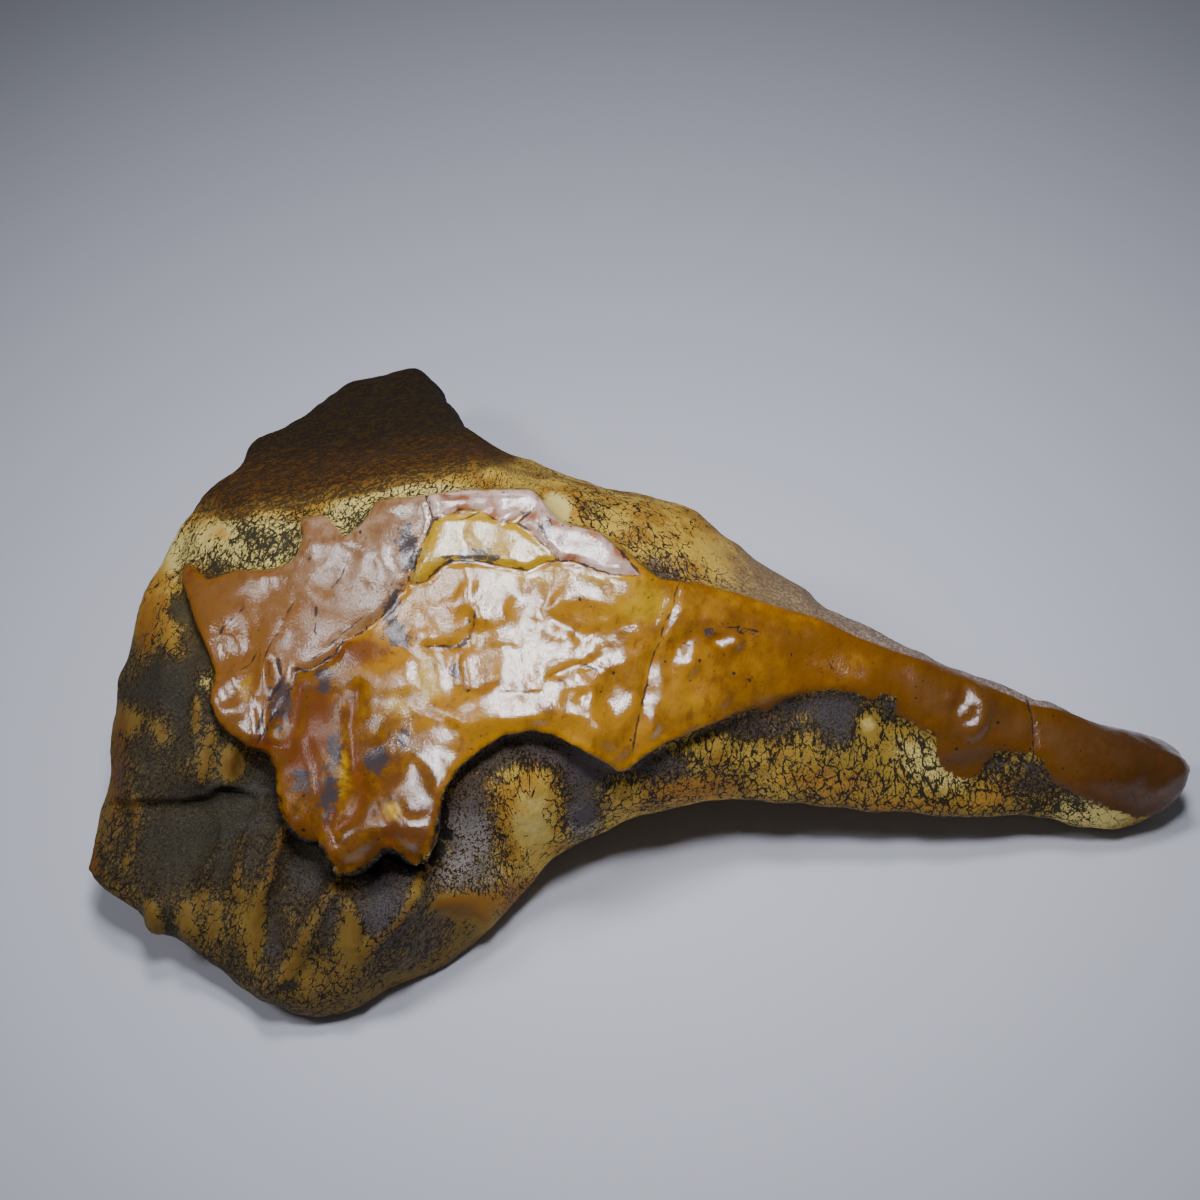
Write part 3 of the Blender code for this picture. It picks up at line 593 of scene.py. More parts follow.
# %% Dabs on the matrix: across, up, half width, half height, strength
SOOT_EVERYWHERE = 0.3
SOOT = [  # black and grey: more where positive, less where negative
    (-44, 21, 1.75, 1.75, 0.4), (-38.5, 19.5, 1.5, 2.25, 0.3), (-46, 17, 1.75, 1, 0.5),
    (-47.5, 15.5, 1, 1, 0.6), (-41, 19, 2.5, 1.75, 0.2), (-31, 21.5, 1.5, 1.75, 0.3),
    (-28.5, 23, 1, 1.75, 0.5), (-46.5, 20.5, 2, 1.25, -0.6), (-53.5, 17, 2, 3.25, -0.5),
    (-54.5, 10.5, 1.75, 3, -0.6), (-51, 12.5, 2, 1.5, 0.6), (-51.5, 9.5, 1, 1.25, -0.5),
    (-52, 6, 2, 1.75, 0.4), (-50.5, 7.5, 0.75, 1.25, -0.5), (-47.5, 7, 1, 1.5, 0.5),
    (-47.5, 4.5, 1, 1.25, -0.5), (-49, 4, 0.75, 1, 0.4), (-53.5, 3.5, 4.5, 1.5, 0.5),
    (-56, 0.5, 2.25, 1.5, -0.7), (-57.5, -5.5, 1.5, 5.75, -0.3), (-52.5, 0, 1, 1.75, -0.6),
    (-48.5, 1.5, 0.75, 1.75, -0.6), (-51, -1.5, 0.75, 1, -0.4), (-47, -1.5, 1.25, 1.75, -0.4),
    (-47.5, -4, 1.25, 1.5, -0.3), (-53.5, -4, 2.5, 3, 0.3), (-44.5, -7, 5.25, 1, 0.8),
    (-42.5, 0, 2.25, 1.5, 0.9), (-44.5, -4, 1, 2, -1.2), (-41.5, -4.5, 1.75, 1.75, 0.4),
    (-47, -12.5, 8.25, 5, 0.6), (-43, -9, 5, 2.25, 0.5), (-52.5, -21, 1, 1.75, -0.5),
    (-49, -21, 1, 1.75, -0.5), (-51, -21, 0.75, 1.75, 0.5), (-42, -21, 1.25, 3, -0.5),
    (-39.5, -21, 1, 4.5, 0.5), (-33.5, -20.5, 1, 2.75, 0.5), (-31.5, -22.5, 1.75, 2.5, -0.8),
    (-29, -18.5, 1.75, 2.75, 0.5), (-37, -25.5, 2.75, 2, -0.5), (-38, -27, 1, 0.5, 1.2),
    (-27.5, -16, 2.75, 4, 0.6), (-36, -15, 3, 4.25, 0.6), (-19, -11.5, 3.25, 7, 0.6),
    (-19.5, -19, 2.5, 1.25, -1), (-22.5, -22.5, 2.75, 1.75, 0.1), (-24.5, -28, 3.5, 1.5, -0.3),
    (-12.5, -9.5, 3.5, 5.75, -0.5), (-11.5, -2, 5, 2.25, 0.7), (-16.5, -3.5, 2.75, 1.75, 0.4),
    (-6.5, -4.5, 3.5, 2.25, 0.9), (-7.5, -9.5, 2, 2.75, 1), (-3, -7.5, 2.25, 2.75, -0.2),
    (0.5, -4, 4, 1.75, 0.6), (4.5, -7, 5, 1.5, -0.2), (9.5, -0.5, 5, 1.25, 0.4), (7, -2, 1, 1.25, -0.4),
    (20.5, 0.5, 2.5, 3.25, 0.8), (16.5, 2, 4.75, 1, 0.5), (23.5, 0, 1, 1.25, -1.2), (10, 20, 16, 5, -0.35),
    (24, -3, 9, 3, -0.15), (-18, -23, 5, 3.5, -0.45), (-30, -27, 8, 2, -0.2), (26, 2, 1.5, 1.25, 0.5),
    (21.5, -7.5, 7, 1.75, -0.15), (33.5, -8.5, 7, 1.5, -0.15), (37, -4.5, 1.75, 1.25, 0.5),
    (41.5, -5.5, 1.75, 3.5, 0.3), (45, -8.5, 1.75, 1.5, 0.2), (50.5, -10.5, 3, 1.75, -0.4),
    (1, 17, 3.25, 2.5, 0.5), (-6.5, 23, 1.75, 1.5, 0.3), (-2, 20.5, 2.25, 1.5, 0.2),
    (-10, 23, 1.75, 2, -0.9), (7.5, 15, 3.5, 1, 0.2), (-18, 26.5, 7, 1, -0.1), (-50, 4, 5.5, 8, 0.6),
    (-48, 0, 6, 5, 0.2), (-38, -25, 14, 3.5, 0.3), (-52, -14, 6, 6, 0.25), (-26, -21, 6, 3, 0.2),
    (14, 1, 8, 2.5, 0.25), (30, -4, 6, 2.5, 0.1), (44, -7, 5, 2.5, 0.15), (25, -8, 25, 3, 0.15),
]
ORANGE = [
    (-54.5, 10.5, 1.75, 4, 1), (-53.5, 16.5, 1.75, 3, 0.4), (-57, -4.5, 1.75, 7, 0.9),
    (4.5, -7, 5.25, 1.75, 0.8), (18.5, -6, 7, 2, 0.6), (38, -7, 4.25, 3, 0.5), (-44.5, -4, 1.25, 2, 0.7),
    (-46.5, 20.5, 2.25, 1.5, 0.6), (-19.5, -19, 2.75, 1.5, 1), (-37, -28.5, 5.75, 2.25, 0.3),
    (-14, -18, 3.5, 2.25, 0.7), (27, -9, 9.25, 1.25, 0.6), (-9.5, -13.5, 3.5, 1.75, 0.4),
    (-38.5, -14, 1.75, 4.75, 0.4), (-59.5, -15.5, 1.75, 2.75, 0.8),
]
PALE = [
    (-43, 19.5, 8.25, 3, 1), (-31.5, 22, 3, 2.5, 1), (-10, 23, 1.75, 2, 1), (48.5, -9.5, 5, 2.5, 0.9),
    (23.5, 0, 1, 1.25, 0.5), (32.5, -5, 3.5, 3, 0.6), (28, -3, 3, 3, 0.4), (-12.5, -10, 3, 5, 0.45),
    (-47.5, 4.5, 1.5, 1.75, 0.4), (-23.5, 25, 5.75, 1, 0.8), (-52, 18, 1.75, 3.5, 0.4),
]
print("dabs on the matrix:", len(SOOT), len(ORANGE), len(PALE))

# %% Dabs on the crust
GREY = [  # chalcedony that shows through the crust
    (-34.5, 5, 1.25, 1.75, 1.3), (-33, -2, 1, 2.25, 1.3), (-28.5, -3.5, 1.75, 1.5, 1.4),
    (-26, -1, 0.75, 1.25, 1.3), (-36.5, -5.5, 1.5, 1.75, 1.2), (-33.5, -7.5, 1.25, 2.75, 1.3),
    (-20.5, 6, 0.75, 1, 1.5), (-26.5, 9.5, 1.75, 1.5, 1.3), (-25.5, 18, 1.25, 2.5, 1.1),
    (-26, 20.5, 1.25, 1.75, 0.7), (-39, 2.5, 1.5, 3.25, 1.3), (-11, 21, 0.75, 1.5, 1.4),
    # The first dab below, along the lower border of the middle sheet, is painted shade at the foot of that
    # sheet.
    (-19, 18, 4.5, 0.9, 1.2), (-27.5, 12, 1, 1.75, 0.9), (-9.5, 4.5, 0.5, 1.25, 1), (6, 10, 1, 0.75, 0.8),
    (10, 10, 1.75, 0.5, 0.7), (-31, 19, 2.75, 2, 0.5), (-27, 13.5, 1, 1.75, 0.9),
]
YELLOW = [
    (-23.5, 5.5, 1.5, 1.75, 1.2), (-13.5, 16, 4.25, 1, 0.9), (-1, 13, 4, 2.25, 0.8),
    (-5.5, 16, 4.75, 1, 0.6), (-26.5, 2.5, 1.5, 1.75, 0.7), (4, 2.5, 3.5, 1.5, 0.4),
    (-32, -4.5, 0.75, 2.75, 0.6), (-31.5, 0, 1, 2.25, 0.35), (-22.5, 3.5, 1.75, 1, 0.5),
    (-20, 19.5, 4.25, 2.25, 1), (-27, -8.5, 1.25, 1, 1), (-43, 4, 1, 2, 0.5),
]
RED = [
    (-35, 0.5, 1.75, 4.75, 0.9), (-30, 8, 3, 1.5, 0.9), (-37, -4, 1.5, 2.75, 0.8), (-41, -1.5, 1.5, 1, 1),
    (-21, 2.5, 1.75, 1, 0.5), (-5.5, 18, 2.25, 1.5, 0.9), (-32, 7.5, 1.75, 1.5, 0.6),
    (-26, -10.5, 1.75, 1, 0.6), (-49.5, 16, 1, 1.75, 0.6), (-35.5, -10.5, 2.75, 1.25, 0.5),
    (-31, -12, 1.75, 1.25, 0.4), (-8, 11, 1.75, 1.5, 0.4),
]
print("dabs on the crust:", len(GREY), len(YELLOW), len(RED))

# %% [markdown]
# ## The brow and the cracks
# The brow is the line where the matrix turns over into the dark back slope of the spur. The cracks are
# drawn lines too. Each point of the mesh keeps its distance to the nearest crack, counted in that crack's
# own half widths, so that one number tells both where the line runs and how bold it is.

# %% Brow and cracks
BROW = [
    (-60, 22.5), (-48.5, 23), (-46.5, 22), (-44, 22), (-42.5, 23), (-38.5, 23), (-35, 24), (-31, 24.5),
    (-27.5, 25.5), (-25, 26), (-22.5, 26.5), (-19.5, 27), (-15, 27.5), (-9.5, 28.5), (-5, 60), (-60, 60),
]
CRACKS = [  # line, half width
    ([(3, 15), (2.5, 13.5), (2.5, 12.5), (1.5, 11), (1, 9), (0.5, 8), (0, 6.5), (-0.5, 4), (-1, 2), (-1.5, 0),
      (-2, -3.5)], 0.16),
    ([(1, 9.5), (2, 9), (3, 9), (4.5, 8.5)], 0.12),
    (TAIL_CRACK, 0.16),
    ([(52.5, -7.5), (53.5, -9), (53.5, -10.5)], 0.12),
    (LEFT_THREAD, 0.12),
    ([(-43.5, 12.5), (-44.5, 11.5), (-45.5, 10.5), (-46, 9.5)], 0.25),
    ([(-42, 7.5), (-42.5, 6.5), (-43.5, 6)], 0.14),
    (LEFT_SPLIT, 0.35),
    ([(-32, 18), (-32.5, 16.5), (-33, 15.5), (-34, 14.5)], 0.14),
    ([(-36, 7), (-34.5, 8), (-33, 9.5), (-30.5, 11.5)], 0.14),
    ([(-35.5, 12.5), (-35.5, 11.5), (-35.5, 10)], 0.25),
    (HORSESHOE, 0.25),
    (SHORT_ARC, 0.25),
    ([(7.5, 11), (8, 10.5), (9.5, 10.5), (11.5, 10)], 0.2),
    ([(9.5, 10), (10.5, 9.5), (10, 9)], 0.16),
    ([(19, 7), (19.5, 6)], 0.12),
    ([(-23, 22), (-21.5, 21.5), (-19.5, 22), (-18, 22.8)], 0.16),
]
CRACK_FADE, CRACK_REACH = 0.4, 1.2  # mm
print("cracks:", len(CRACKS))


def crack_fields(across, up):
    """Signed distance to the nearest crack in its own half widths, and a mask that ends with the crack."""
    nearest, signed, ends = np.full(len(across), np.inf), np.zeros(len(across)), np.zeros(len(across))
    for line, half in CRACKS:
        gap, side, past = along_line(across, up, line)
        closer = gap < nearest
        nearest = np.where(closer, gap, nearest)
        signed = np.where(closer, side * gap / half, signed)
        ends = np.where(closer, (1 - smooth(past / CRACK_FADE)) * (gap < CRACK_REACH), ends)
    return signed, ends


# %% [markdown]
# ## Numbers kept on the points
# What is drawn on the board would go straight through the stone and come out at its back. So each field is
# shut off where the surface turns away from an eye high over the board, and the back and underside keep the
# plain matrix.

# %% Attributes on the points
EYE_HEIGHT = 450  # mm
TURNED_AWAY, TURN_WIDTH = 0.2, 0.16  # cosine where the drawing ends, and the width of its fade
FAR_OUTSIDE = 4  # mm, the depth that is stored where nothing is drawn
RIB_PAINT = 0.6  # mm, half width of the ochre on each rib


def stored(data, name, *columns):
    """Keeps one to three numbers for each point under a name."""
    values = np.zeros((len(data.vertices), 3))
    for number, column in enumerate(columns):
        values[:, number] = column
    attribute = data.attributes.new(name, "FLOAT_VECTOR", "POINT")
    attribute.data.foreach_set("vector", values.ravel())


def shown(depth):
    return depth * in_view - FAR_OUTSIDE * (1 - in_view)


points, normals = places(body)
across, up = onto_board(points)
to_eye = BOARD_OUT * EYE_HEIGHT - points
to_eye /= np.linalg.norm(to_eye, axis=1)[:, None]
in_view = smooth(((normals * to_eye).sum(1) + TURNED_AWAY) / TURN_WIDTH)
left, middle, upper, right = sheet_depths(across, up)
ribs = lines_height(across, up, [(line, RIB_PAINT, 1) for line, _, _ in RIBS])
soot = SOOT_EVERYWHERE + dabs(across, up, SOOT) * in_view - 0.45 * ribs * in_view
orange = dabs(across, up, ORANGE) * in_view + 0.5 * ribs
crumple = grain(over_board(points), ((1.6, 1),))
edge_depth = shown(depth_inside(across, up, CRUST_EDGE))
brow_depth = shown(depth_inside(across, up, BROW))
stored(body, "edge", edge_depth, brow_depth, in_view)
stored(body, "sheets", left, middle, np.maximum(upper, right))
stored(body, "cracks", *crack_fields(across, up), lip_height(across, up))
stored(body, "matrix_paint", soot, orange, dabs(across, up, PALE) * in_view)
# Beside the worn polish, this keeps the grooves and the crumple of the sheets, which also place painted shade
# and light in the material.
stored(body, "wear_and_shading", dabs(across, up, DULL), lines_height(across, up, GROOVES), crumple)
stored(body, "crust_paint", *[dabs(across, up, spots) for spots in (GREY, YELLOW, RED)])
print("attributes:", [a.name for a in body.attributes if a.data_type == "FLOAT_VECTOR"])

# %% [markdown]
# ## The finished piece
# The mesh goes back to metres and becomes the one object of this lesson.

# %% Finished piece
for polygon in body.polygons:
    polygon.use_smooth = True
stone_mesh = bmesh.new()
stone_mesh.from_mesh(body)
bmesh.ops.scale(stone_mesh, vec=(MM,) * 3, verts=stone_mesh.verts)
stone_mesh.to_mesh(body)
stone_mesh.free()
stone = bpy.data.objects.new("agate_stone", body)
bpy.context.scene.collection.objects.link(stone)
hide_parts("agate")
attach(stone, "root")
print(stone.name, "has", len(body.polygons), "faces")

# %% [markdown]
# ## Wiring helpers
# Node trees are clearer when the arithmetic reads like arithmetic, so a few short calls add a node, wire
# its inputs and hand back its output.

# %% Wiring
class Bench:
    """A node tree with short calls that add nodes and join them."""

    def __init__(self, tree):
        self.tree = tree

    def add(self, kind, wires=None, **settings):
        node = self.tree.nodes.new(kind)
        for name, value in settings.items():
            setattr(node, name, value)
        for socket, value in (wires or {}).items():
            self.wire(value, node.inputs[socket])
        return node

    def wire(self, value, socket):
        if isinstance(value, bpy.types.NodeSocket):
            self.tree.links.new(value, socket)
        else:
            socket.default_value = value

    def sum(self, operation, first, second=0.0, third=0.0):
        return self.add("ShaderNodeMath", {0: first, 1: second, 2: third}, operation=operation).outputs[0]

    def times(self, first, second):
        return self.sum("MULTIPLY", first, second)

    def plus(self, first, second):
        return self.sum("ADD", first, second)

    def most(self, *values):
        """The largest of several masks."""
        largest = values[0]
        for value in values[1:]:
            largest = self.sum("MAXIMUM", largest, value)
        return largest

    def ramp(self, value, low, high, start=0.0, end=1.0):
        """A smooth step from start to end as value goes from low to high."""
        wires = {"Value": value, "From Min": low, "From Max": high, "To Min": start, "To Max": end}
        return self.add("ShaderNodeMapRange", wires, interpolation_type="SMOOTHSTEP").outputs[0]

    def colour(self, amount, first, second):
        return self.add("ShaderNodeMix", {0: amount, 6: first, 7: second}, data_type="RGBA").outputs[2]

    def noise(self, point, scale, detail=2.0, roughness=0.5):
        wires = {"Vector": point, "Scale": scale, "Detail": detail, "Roughness": roughness}
        return self.add("ShaderNodeTexNoise", wires).outputs["Fac"]

    def bent(self, point, scale, reach):
        """The point, pushed about by a noise, so that what is drawn there wanders."""
        push = self.add("ShaderNodeTexNoise", {"Vector": point, "Scale": scale, "Detail": 3}).outputs["Color"]
        wires = {0: push, 1: (reach, reach, reach), 2: point}
        return self.add("ShaderNodeVectorMath", wires, operation="MULTIPLY_ADD").outputs[0]

    def attribute(self, name):
        """The three numbers stored under a name."""
        source = self.add("ShaderNodeAttribute", attribute_name=name).outputs["Vector"]
        return self.add("ShaderNodeSeparateXYZ", {0: source}).outputs[:]

    def turned(self, point, angle, lengths):
        """The point in a pattern's own cells, turned in the board's plane and with these lengths in mm."""
        wires = {"Vector": point, "Rotation": (0, 0, radians(angle)), "Scale": lengths}
        return self.add("ShaderNodeMapping", wires, vector_type="TEXTURE").outputs[0]

    def effect(self, tree, **wires):
        """One of the shared effects, placed with its own values."""
        node = self.add("ShaderNodeGroup", node_tree=tree)
        for name, value in wires.items():
            self.wire(value, node.inputs[name.capitalize()])
        return node.outputs[0]


def effect_tree(name, numbers):
    """An empty node group that makes a mask from a point and numbers: its bench, inputs and output."""
    tree = bpy.data.node_groups.new(name, "ShaderNodeTree")
    tree.interface.new_socket("Point", in_out="INPUT", socket_type="NodeSocketVector")
    for label, value in numbers.items():
        tree.interface.new_socket(label, in_out="INPUT", socket_type="NodeSocketFloat").default_value = value
    tree.interface.new_socket("Mask", in_out="OUTPUT", socket_type="NodeSocketFloat")
    bench = Bench(tree)
    return bench, bench.add("NodeGroupInput").outputs, bench.add("NodeGroupOutput").inputs[0]


# %% [markdown]
# ## Shared effects
# Four effects are used over and over with other sizes. *Stain* soaks a soft dab with frayed edges and fine
# grain. *Specks* scatters dots. *Veins* draws the branching threads that manganese leaves in fine cracks.
# *Drawn line* darkens a band on both sides of a line. Each is a node group, so the material stays readable.

# %% Stain
tree, given, result = effect_tree("Stain", {"Cover": 0.5, "Softness": 0.02})
cloud = tree.noise(given["Point"], 1, detail=6, roughness=0.72)
level = tree.sum("MULTIPLY_ADD", given["Cover"], -0.3, 0.626)
low = tree.sum("SUBTRACT", level, given["Softness"])
tree.wire(tree.ramp(cloud, low, tree.plus(level, given["Softness"])), result)
stain = tree.tree

# %% Specks
tree, given, result = effect_tree("Specks", {"Spacing": 1, "Share": 0.4})
wobbly = tree.bent(given["Point"], 2.5, 0.4)
cells = tree.add("ShaderNodeTexVoronoi", {"Vector": wobbly, "Scale": tree.sum("DIVIDE", 1, given["Spacing"])})
lot = tree.add("ShaderNodeSeparateColor", {0: cells.outputs["Color"]}).outputs[0]
radius = tree.ramp(lot, tree.sum("SUBTRACT", 1, given["Share"]), 1.1, 0, 0.42)
tree.wire(tree.ramp(cells.outputs["Distance"], radius, tree.times(radius, 0.7)), result)
specks = tree.tree

# %% Veins
tree, given, result = effect_tree("Veins", {"Width": 0.06, "Gaps": 0.5})
wandering = tree.bent(tree.bent(given["Point"], 0.9, 0.9), 3.5, 0.25)
web_wires = {"Vector": wandering, "Scale": 1.0}
web = tree.add("ShaderNodeTexVoronoi", web_wires, feature="DISTANCE_TO_EDGE").outputs[0]
beaded = tree.ramp(tree.noise(given["Point"], 3.0, detail=1), 0.35, 0.65, 0.4, 1.5)
gone = tree.ramp(tree.noise(given["Point"], 0.7, detail=3), given["Gaps"], tree.plus(given["Gaps"], 0.1))
width = tree.times(tree.times(given["Width"], beaded), gone)
tree.wire(tree.ramp(web, width, tree.times(width, 0.5)), result)
veins = tree.tree

# %% Drawn line
tree, given, result = effect_tree("Drawn line", {"Distance": 0, "Width": 0.3, "Wobble": 0.2})
wander = tree.times(tree.plus(tree.noise(given["Point"], 1.6, detail=3), -0.5), given["Wobble"])
gap = tree.sum("ABSOLUTE", tree.plus(given["Distance"], wander))
thin = tree.times(given["Width"], tree.ramp(tree.noise(given["Point"], 0.7, detail=3), 0.35, 0.62, 0.05, 1.7))
tree.wire(tree.ramp(gap, thin, tree.times(thin, 0.4)), result)
drawn_line = tree.tree
print("effects:", [tree.name for tree in bpy.data.node_groups])

# %% [markdown]
# ## The finish
# One material covers the whole stone. It builds three finishes from the bottom up - matrix, back slope and
# crust - and picks between them with the stored distances, broken up by a little noise. Last come cracks
# and the dark line of painted shade under the lip. Separate materials on separate faces would cut the borders
# along the mesh's squares.

# %% Colours
AMBER, DEEP_AMBER, HONEY = (0.56, 0.25, 0.005, 1), (0.27, 0.1, 0.003, 1), (0.7, 0.41, 0.008, 1)
TAN, RUST, LOBE_BROWN = (0.27, 0.105, 0.012, 1), (0.18, 0.042, 0.004, 1), (0.145, 0.048, 0.003, 1)
SHEEN_TAN, LIT_PINK, PINK = (0.46, 0.28, 0.16, 1), (0.74, 0.5, 0.4, 1), (0.5, 0.19, 0.08, 1)
TAIL_BROWN, TIP_BROWN = (0.17, 0.064, 0.005, 1), (0.1, 0.037, 0.004, 1)
CHALCEDONY, CRACK_BLUE = (0.05, 0.044, 0.052, 1), (0.025, 0.022, 0.03, 1)
OCHRE, SIENNA, CREAM = (0.66, 0.43, 0.07, 1), (0.46, 0.24, 0.028, 1), (0.8, 0.64, 0.2, 1)
PEACH, SHADED_OCHRE, SHADED_ORANGE = (0.5, 0.22, 0.025, 1), (0.22, 0.135, 0.027, 1), (0.16, 0.07, 0.012, 1)
INK, SLATE = (0.012, 0.011, 0.012, 1), (0.14, 0.135, 0.17, 1)
MOSS, ASH = (0.06, 0.068, 0.056, 1), (0.62, 0.58, 0.57, 1)
UMBER, BACK_ORANGE, BACK_OCHRE = (0.055, 0.031, 0.007, 1), (0.135, 0.058, 0.008, 1), (0.26, 0.145, 0.025, 1)
LAVENDER, LAVENDER_DARK = (0.44, 0.35, 0.3, 1), (0.15, 0.1, 0.07, 1)
LIMB_TAN, SHADED_TAIL_OCHRE = (0.4, 0.27, 0.13, 1), (0.36, 0.235, 0.036, 1)

material = bpy.data.materials.new("agate_stone")
material.use_nodes = True
shader = material.node_tree.nodes["Principled BSDF"]
bench = Bench(material.node_tree)
body.materials.clear()
body.materials.append(material)
print("material:", material.name)

# %% [markdown]
# ## Where the material is
# Object coordinates turned to millimetres drive the grain, because they stay with the stone when it moves.
# The same coordinates turned by the board's tilt say where on the drawing a spot lies. The stored
# attributes tell how far it is from each line. One noise frays every border, and a slower one drifts the
# tones over a few millimetres.

# %% Coordinates and stored fields
TO_MM = (1 / MM,) * 3
LEFT_FROM, LEFT_TO = -10, -20  # mm across, where the right half of the stone gives way to the left

here = bench.add("ShaderNodeTexCoord").outputs["Object"]
in_mm = bench.add("ShaderNodeMapping", {"Vector": here, "Scale": TO_MM}).outputs[0]
board_turn = {"Vector": here, "Rotation": (BOARD_TILT - radians(90), 0, 0), "Scale": TO_MM}
on_board = bench.add("ShaderNodeMapping", board_turn).outputs[0]
board_across, board_up, _ = bench.add("ShaderNodeSeparateXYZ", {0: on_board}).outputs[:]
edge_depth, brow_depth, in_view = bench.attribute("edge")
left_sheet, middle_sheet, upper_sheet = bench.attribute("sheets")
crack_gap, crack_ends, lip = bench.attribute("cracks")
soot, orange, pale = bench.attribute("matrix_paint")
grey, yellow, red = bench.attribute("crust_paint")
dull, groove_shade, crumple = bench.attribute("wear_and_shading")
ragged = bench.plus(bench.noise(in_mm, 0.9, detail=5, roughness=0.65), -0.5)
slow = bench.plus(bench.noise(in_mm, 0.25, detail=3), -0.5)
dust = bench.noise(in_mm, 5.0, detail=3, roughness=0.75)
drifting = bench.plus(board_across, bench.times(slow, 20))
wandering = bench.plus(board_across, bench.times(ragged, 8))
to_the_left = bench.ramp(board_across, LEFT_FROM, LEFT_TO)


def torn(field, reach):
    """A field whose borders are frayed by noise."""
    return bench.plus(field, bench.times(ragged, reach))


def by_side(right, left):
    """One value on the right of the stone and another on its left."""
    return bench.ramp(to_the_left, 0, 1, right, left)


print("stored fields:", [a.name for a in body.attributes if a.data_type == "FLOAT_VECTOR"])

# %% [markdown]
# ## The matrix
# The matrix is ochre rock with black manganese in it. On the left the black is a soft leaning stain, on the
# right it runs upright in threads. It is drawn in four sizes that overlap: stain, web, hair and dots. Over
# the rock lies a thin grey film, slate blue under the lip, greenish on the left and ashen below the lobes.
# One noise alone would look like camouflage; the threads make it look grown.

# %% Black in the matrix
UPRIGHT, UPRIGHT_CELLS = 7, (1.1, 3.3, 1.0)  # degrees; cells in mm
LEANING, LEANING_CELLS = -28, (0.8, 1.6, 1.0)
FINER = (2.1, 2.1, 2.1)

upright = bench.turned(on_board, UPRIGHT, UPRIGHT_CELLS)
leaning = bench.turned(on_board, LEANING, LEANING_CELLS)
threads = bench.add("ShaderNodeMix", {0: to_the_left, 4: upright, 5: leaning}, data_type="VECTOR").outputs[1]
finer = bench.add("ShaderNodeMapping", {"Vector": threads, "Scale": FINER}).outputs[0]
stippled = bench.turned(on_board, -10, (0.25, 0.3, 0.25))
cover = bench.sum("MULTIPLY_ADD", slow, 0.5, soot)
thickness = bench.ramp(cover, 0, 0.9, 0.05, 0.17)
web_gaps = bench.sum("MULTIPLY_ADD", cover, -0.5, 0.46)
hair_gaps = bench.sum("MULTIPLY_ADD", cover, -0.4, 0.6)
ink_cover = bench.sum("MULTIPLY_ADD", cover, 1.3, by_side(-0.75, -0.55))

ink = bench.effect(stain, point=finer, cover=ink_cover, softness=0.02)
stipple = bench.effect(stain, point=stippled, cover=bench.times(cover, 0.7), softness=0.03)
web = bench.effect(veins, point=threads, width=thickness, gaps=web_gaps)
hair = bench.effect(veins, point=finer, width=bench.times(thickness, 1.3), gaps=hair_gaps)
dots = bench.effect(specks, point=in_mm, spacing=0.4, share=bench.ramp(cover, -0.4, 0.7, 0.1, 0.6))
print("nodes so far:", len(material.node_tree.nodes))

# %% Ground of the matrix
# Painted shade: towards the lower left the ground turns to a shaded ochre, and its orange to a shaded orange.
shade_towards_lower_left = bench.ramp(bench.plus(board_across, bench.times(board_up, 1.2)), -30, -50)
orange_tone = bench.colour(shade_towards_lower_left, PEACH, SHADED_ORANGE)

ground = bench.colour(bench.ramp(slow, -0.12, 0.12), OCHRE, SIENNA)
# Painted shade: the ground darkens to a deeper ochre towards the tail's lower flank.
ground = bench.colour(bench.ramp(board_across, 4, 22, 0, 0.8), ground, SHADED_TAIL_OCHRE)
ground = bench.colour(shade_towards_lower_left, ground, SHADED_OCHRE)
ground = bench.colour(bench.ramp(torn(pale, 0.7), 0.2, 0.6), ground, CREAM)
ground = bench.colour(bench.ramp(torn(orange, 0.7), 0.2, 0.8), ground, orange_tone)
ground = bench.colour(bench.ramp(in_view, 0, 1, 0.75, 0), ground, BACK_OCHRE)

# %% Grey film over the matrix
FILM_STRENGTH, INK_STRENGTH, INK_ON_FILM = 0.93, 0.95, 0.3

grainy = bench.plus(bench.noise(in_mm, 3.2, detail=2, roughness=0.9), -0.5)
film_cover = bench.times(bench.sum("MULTIPLY_ADD", pale, -2.2, cover), 0.7)
frayed = bench.plus(bench.times(ragged, 0.6), bench.times(grainy, 2.8))
film = bench.ramp(bench.plus(film_cover, frayed), by_side(0.4, 0.27), by_side(0.7, 0.67))

greenish = bench.ramp(bench.plus(board_across, bench.times(slow, 40)), -42, -26)
ashen = bench.times(bench.ramp(drifting, -26, -18), bench.ramp(board_up, -20, -15))
ashen = bench.times(ashen, bench.ramp(torn(board_up, 4), -8, -11))
less_dusty = bench.times(bench.ramp(board_across, -27, -22), bench.ramp(board_across, 8, 2))
dusty = bench.times(bench.ramp(dust, 0.4, 0.62, 0.75, 0), bench.ramp(less_dusty, 0, 1, 1, 0.3))
mineral = bench.colour(greenish, MOSS, SLATE)
mineral = bench.colour(ashen, mineral, ASH)
mineral = bench.colour(bench.ramp(drifting, -10, -6), mineral, SLATE)
mineral = bench.colour(dusty, mineral, INK)
mineral = bench.colour(bench.ramp(grainy, 0.04, 0.16, 0, by_side(0.12, 0.5)), mineral, SHADED_OCHRE)

black = bench.most(ink, bench.most(web, hair), dots, bench.times(stipple, 0.8))
black = bench.times(black, bench.ramp(film, 0, 1, INK_STRENGTH, INK_ON_FILM))
matrix_colour = bench.colour(bench.times(film, FILM_STRENGTH), ground, mineral)
matrix_colour = bench.colour(black, matrix_colour, INK)
print("nodes so far:", len(material.node_tree.nodes))
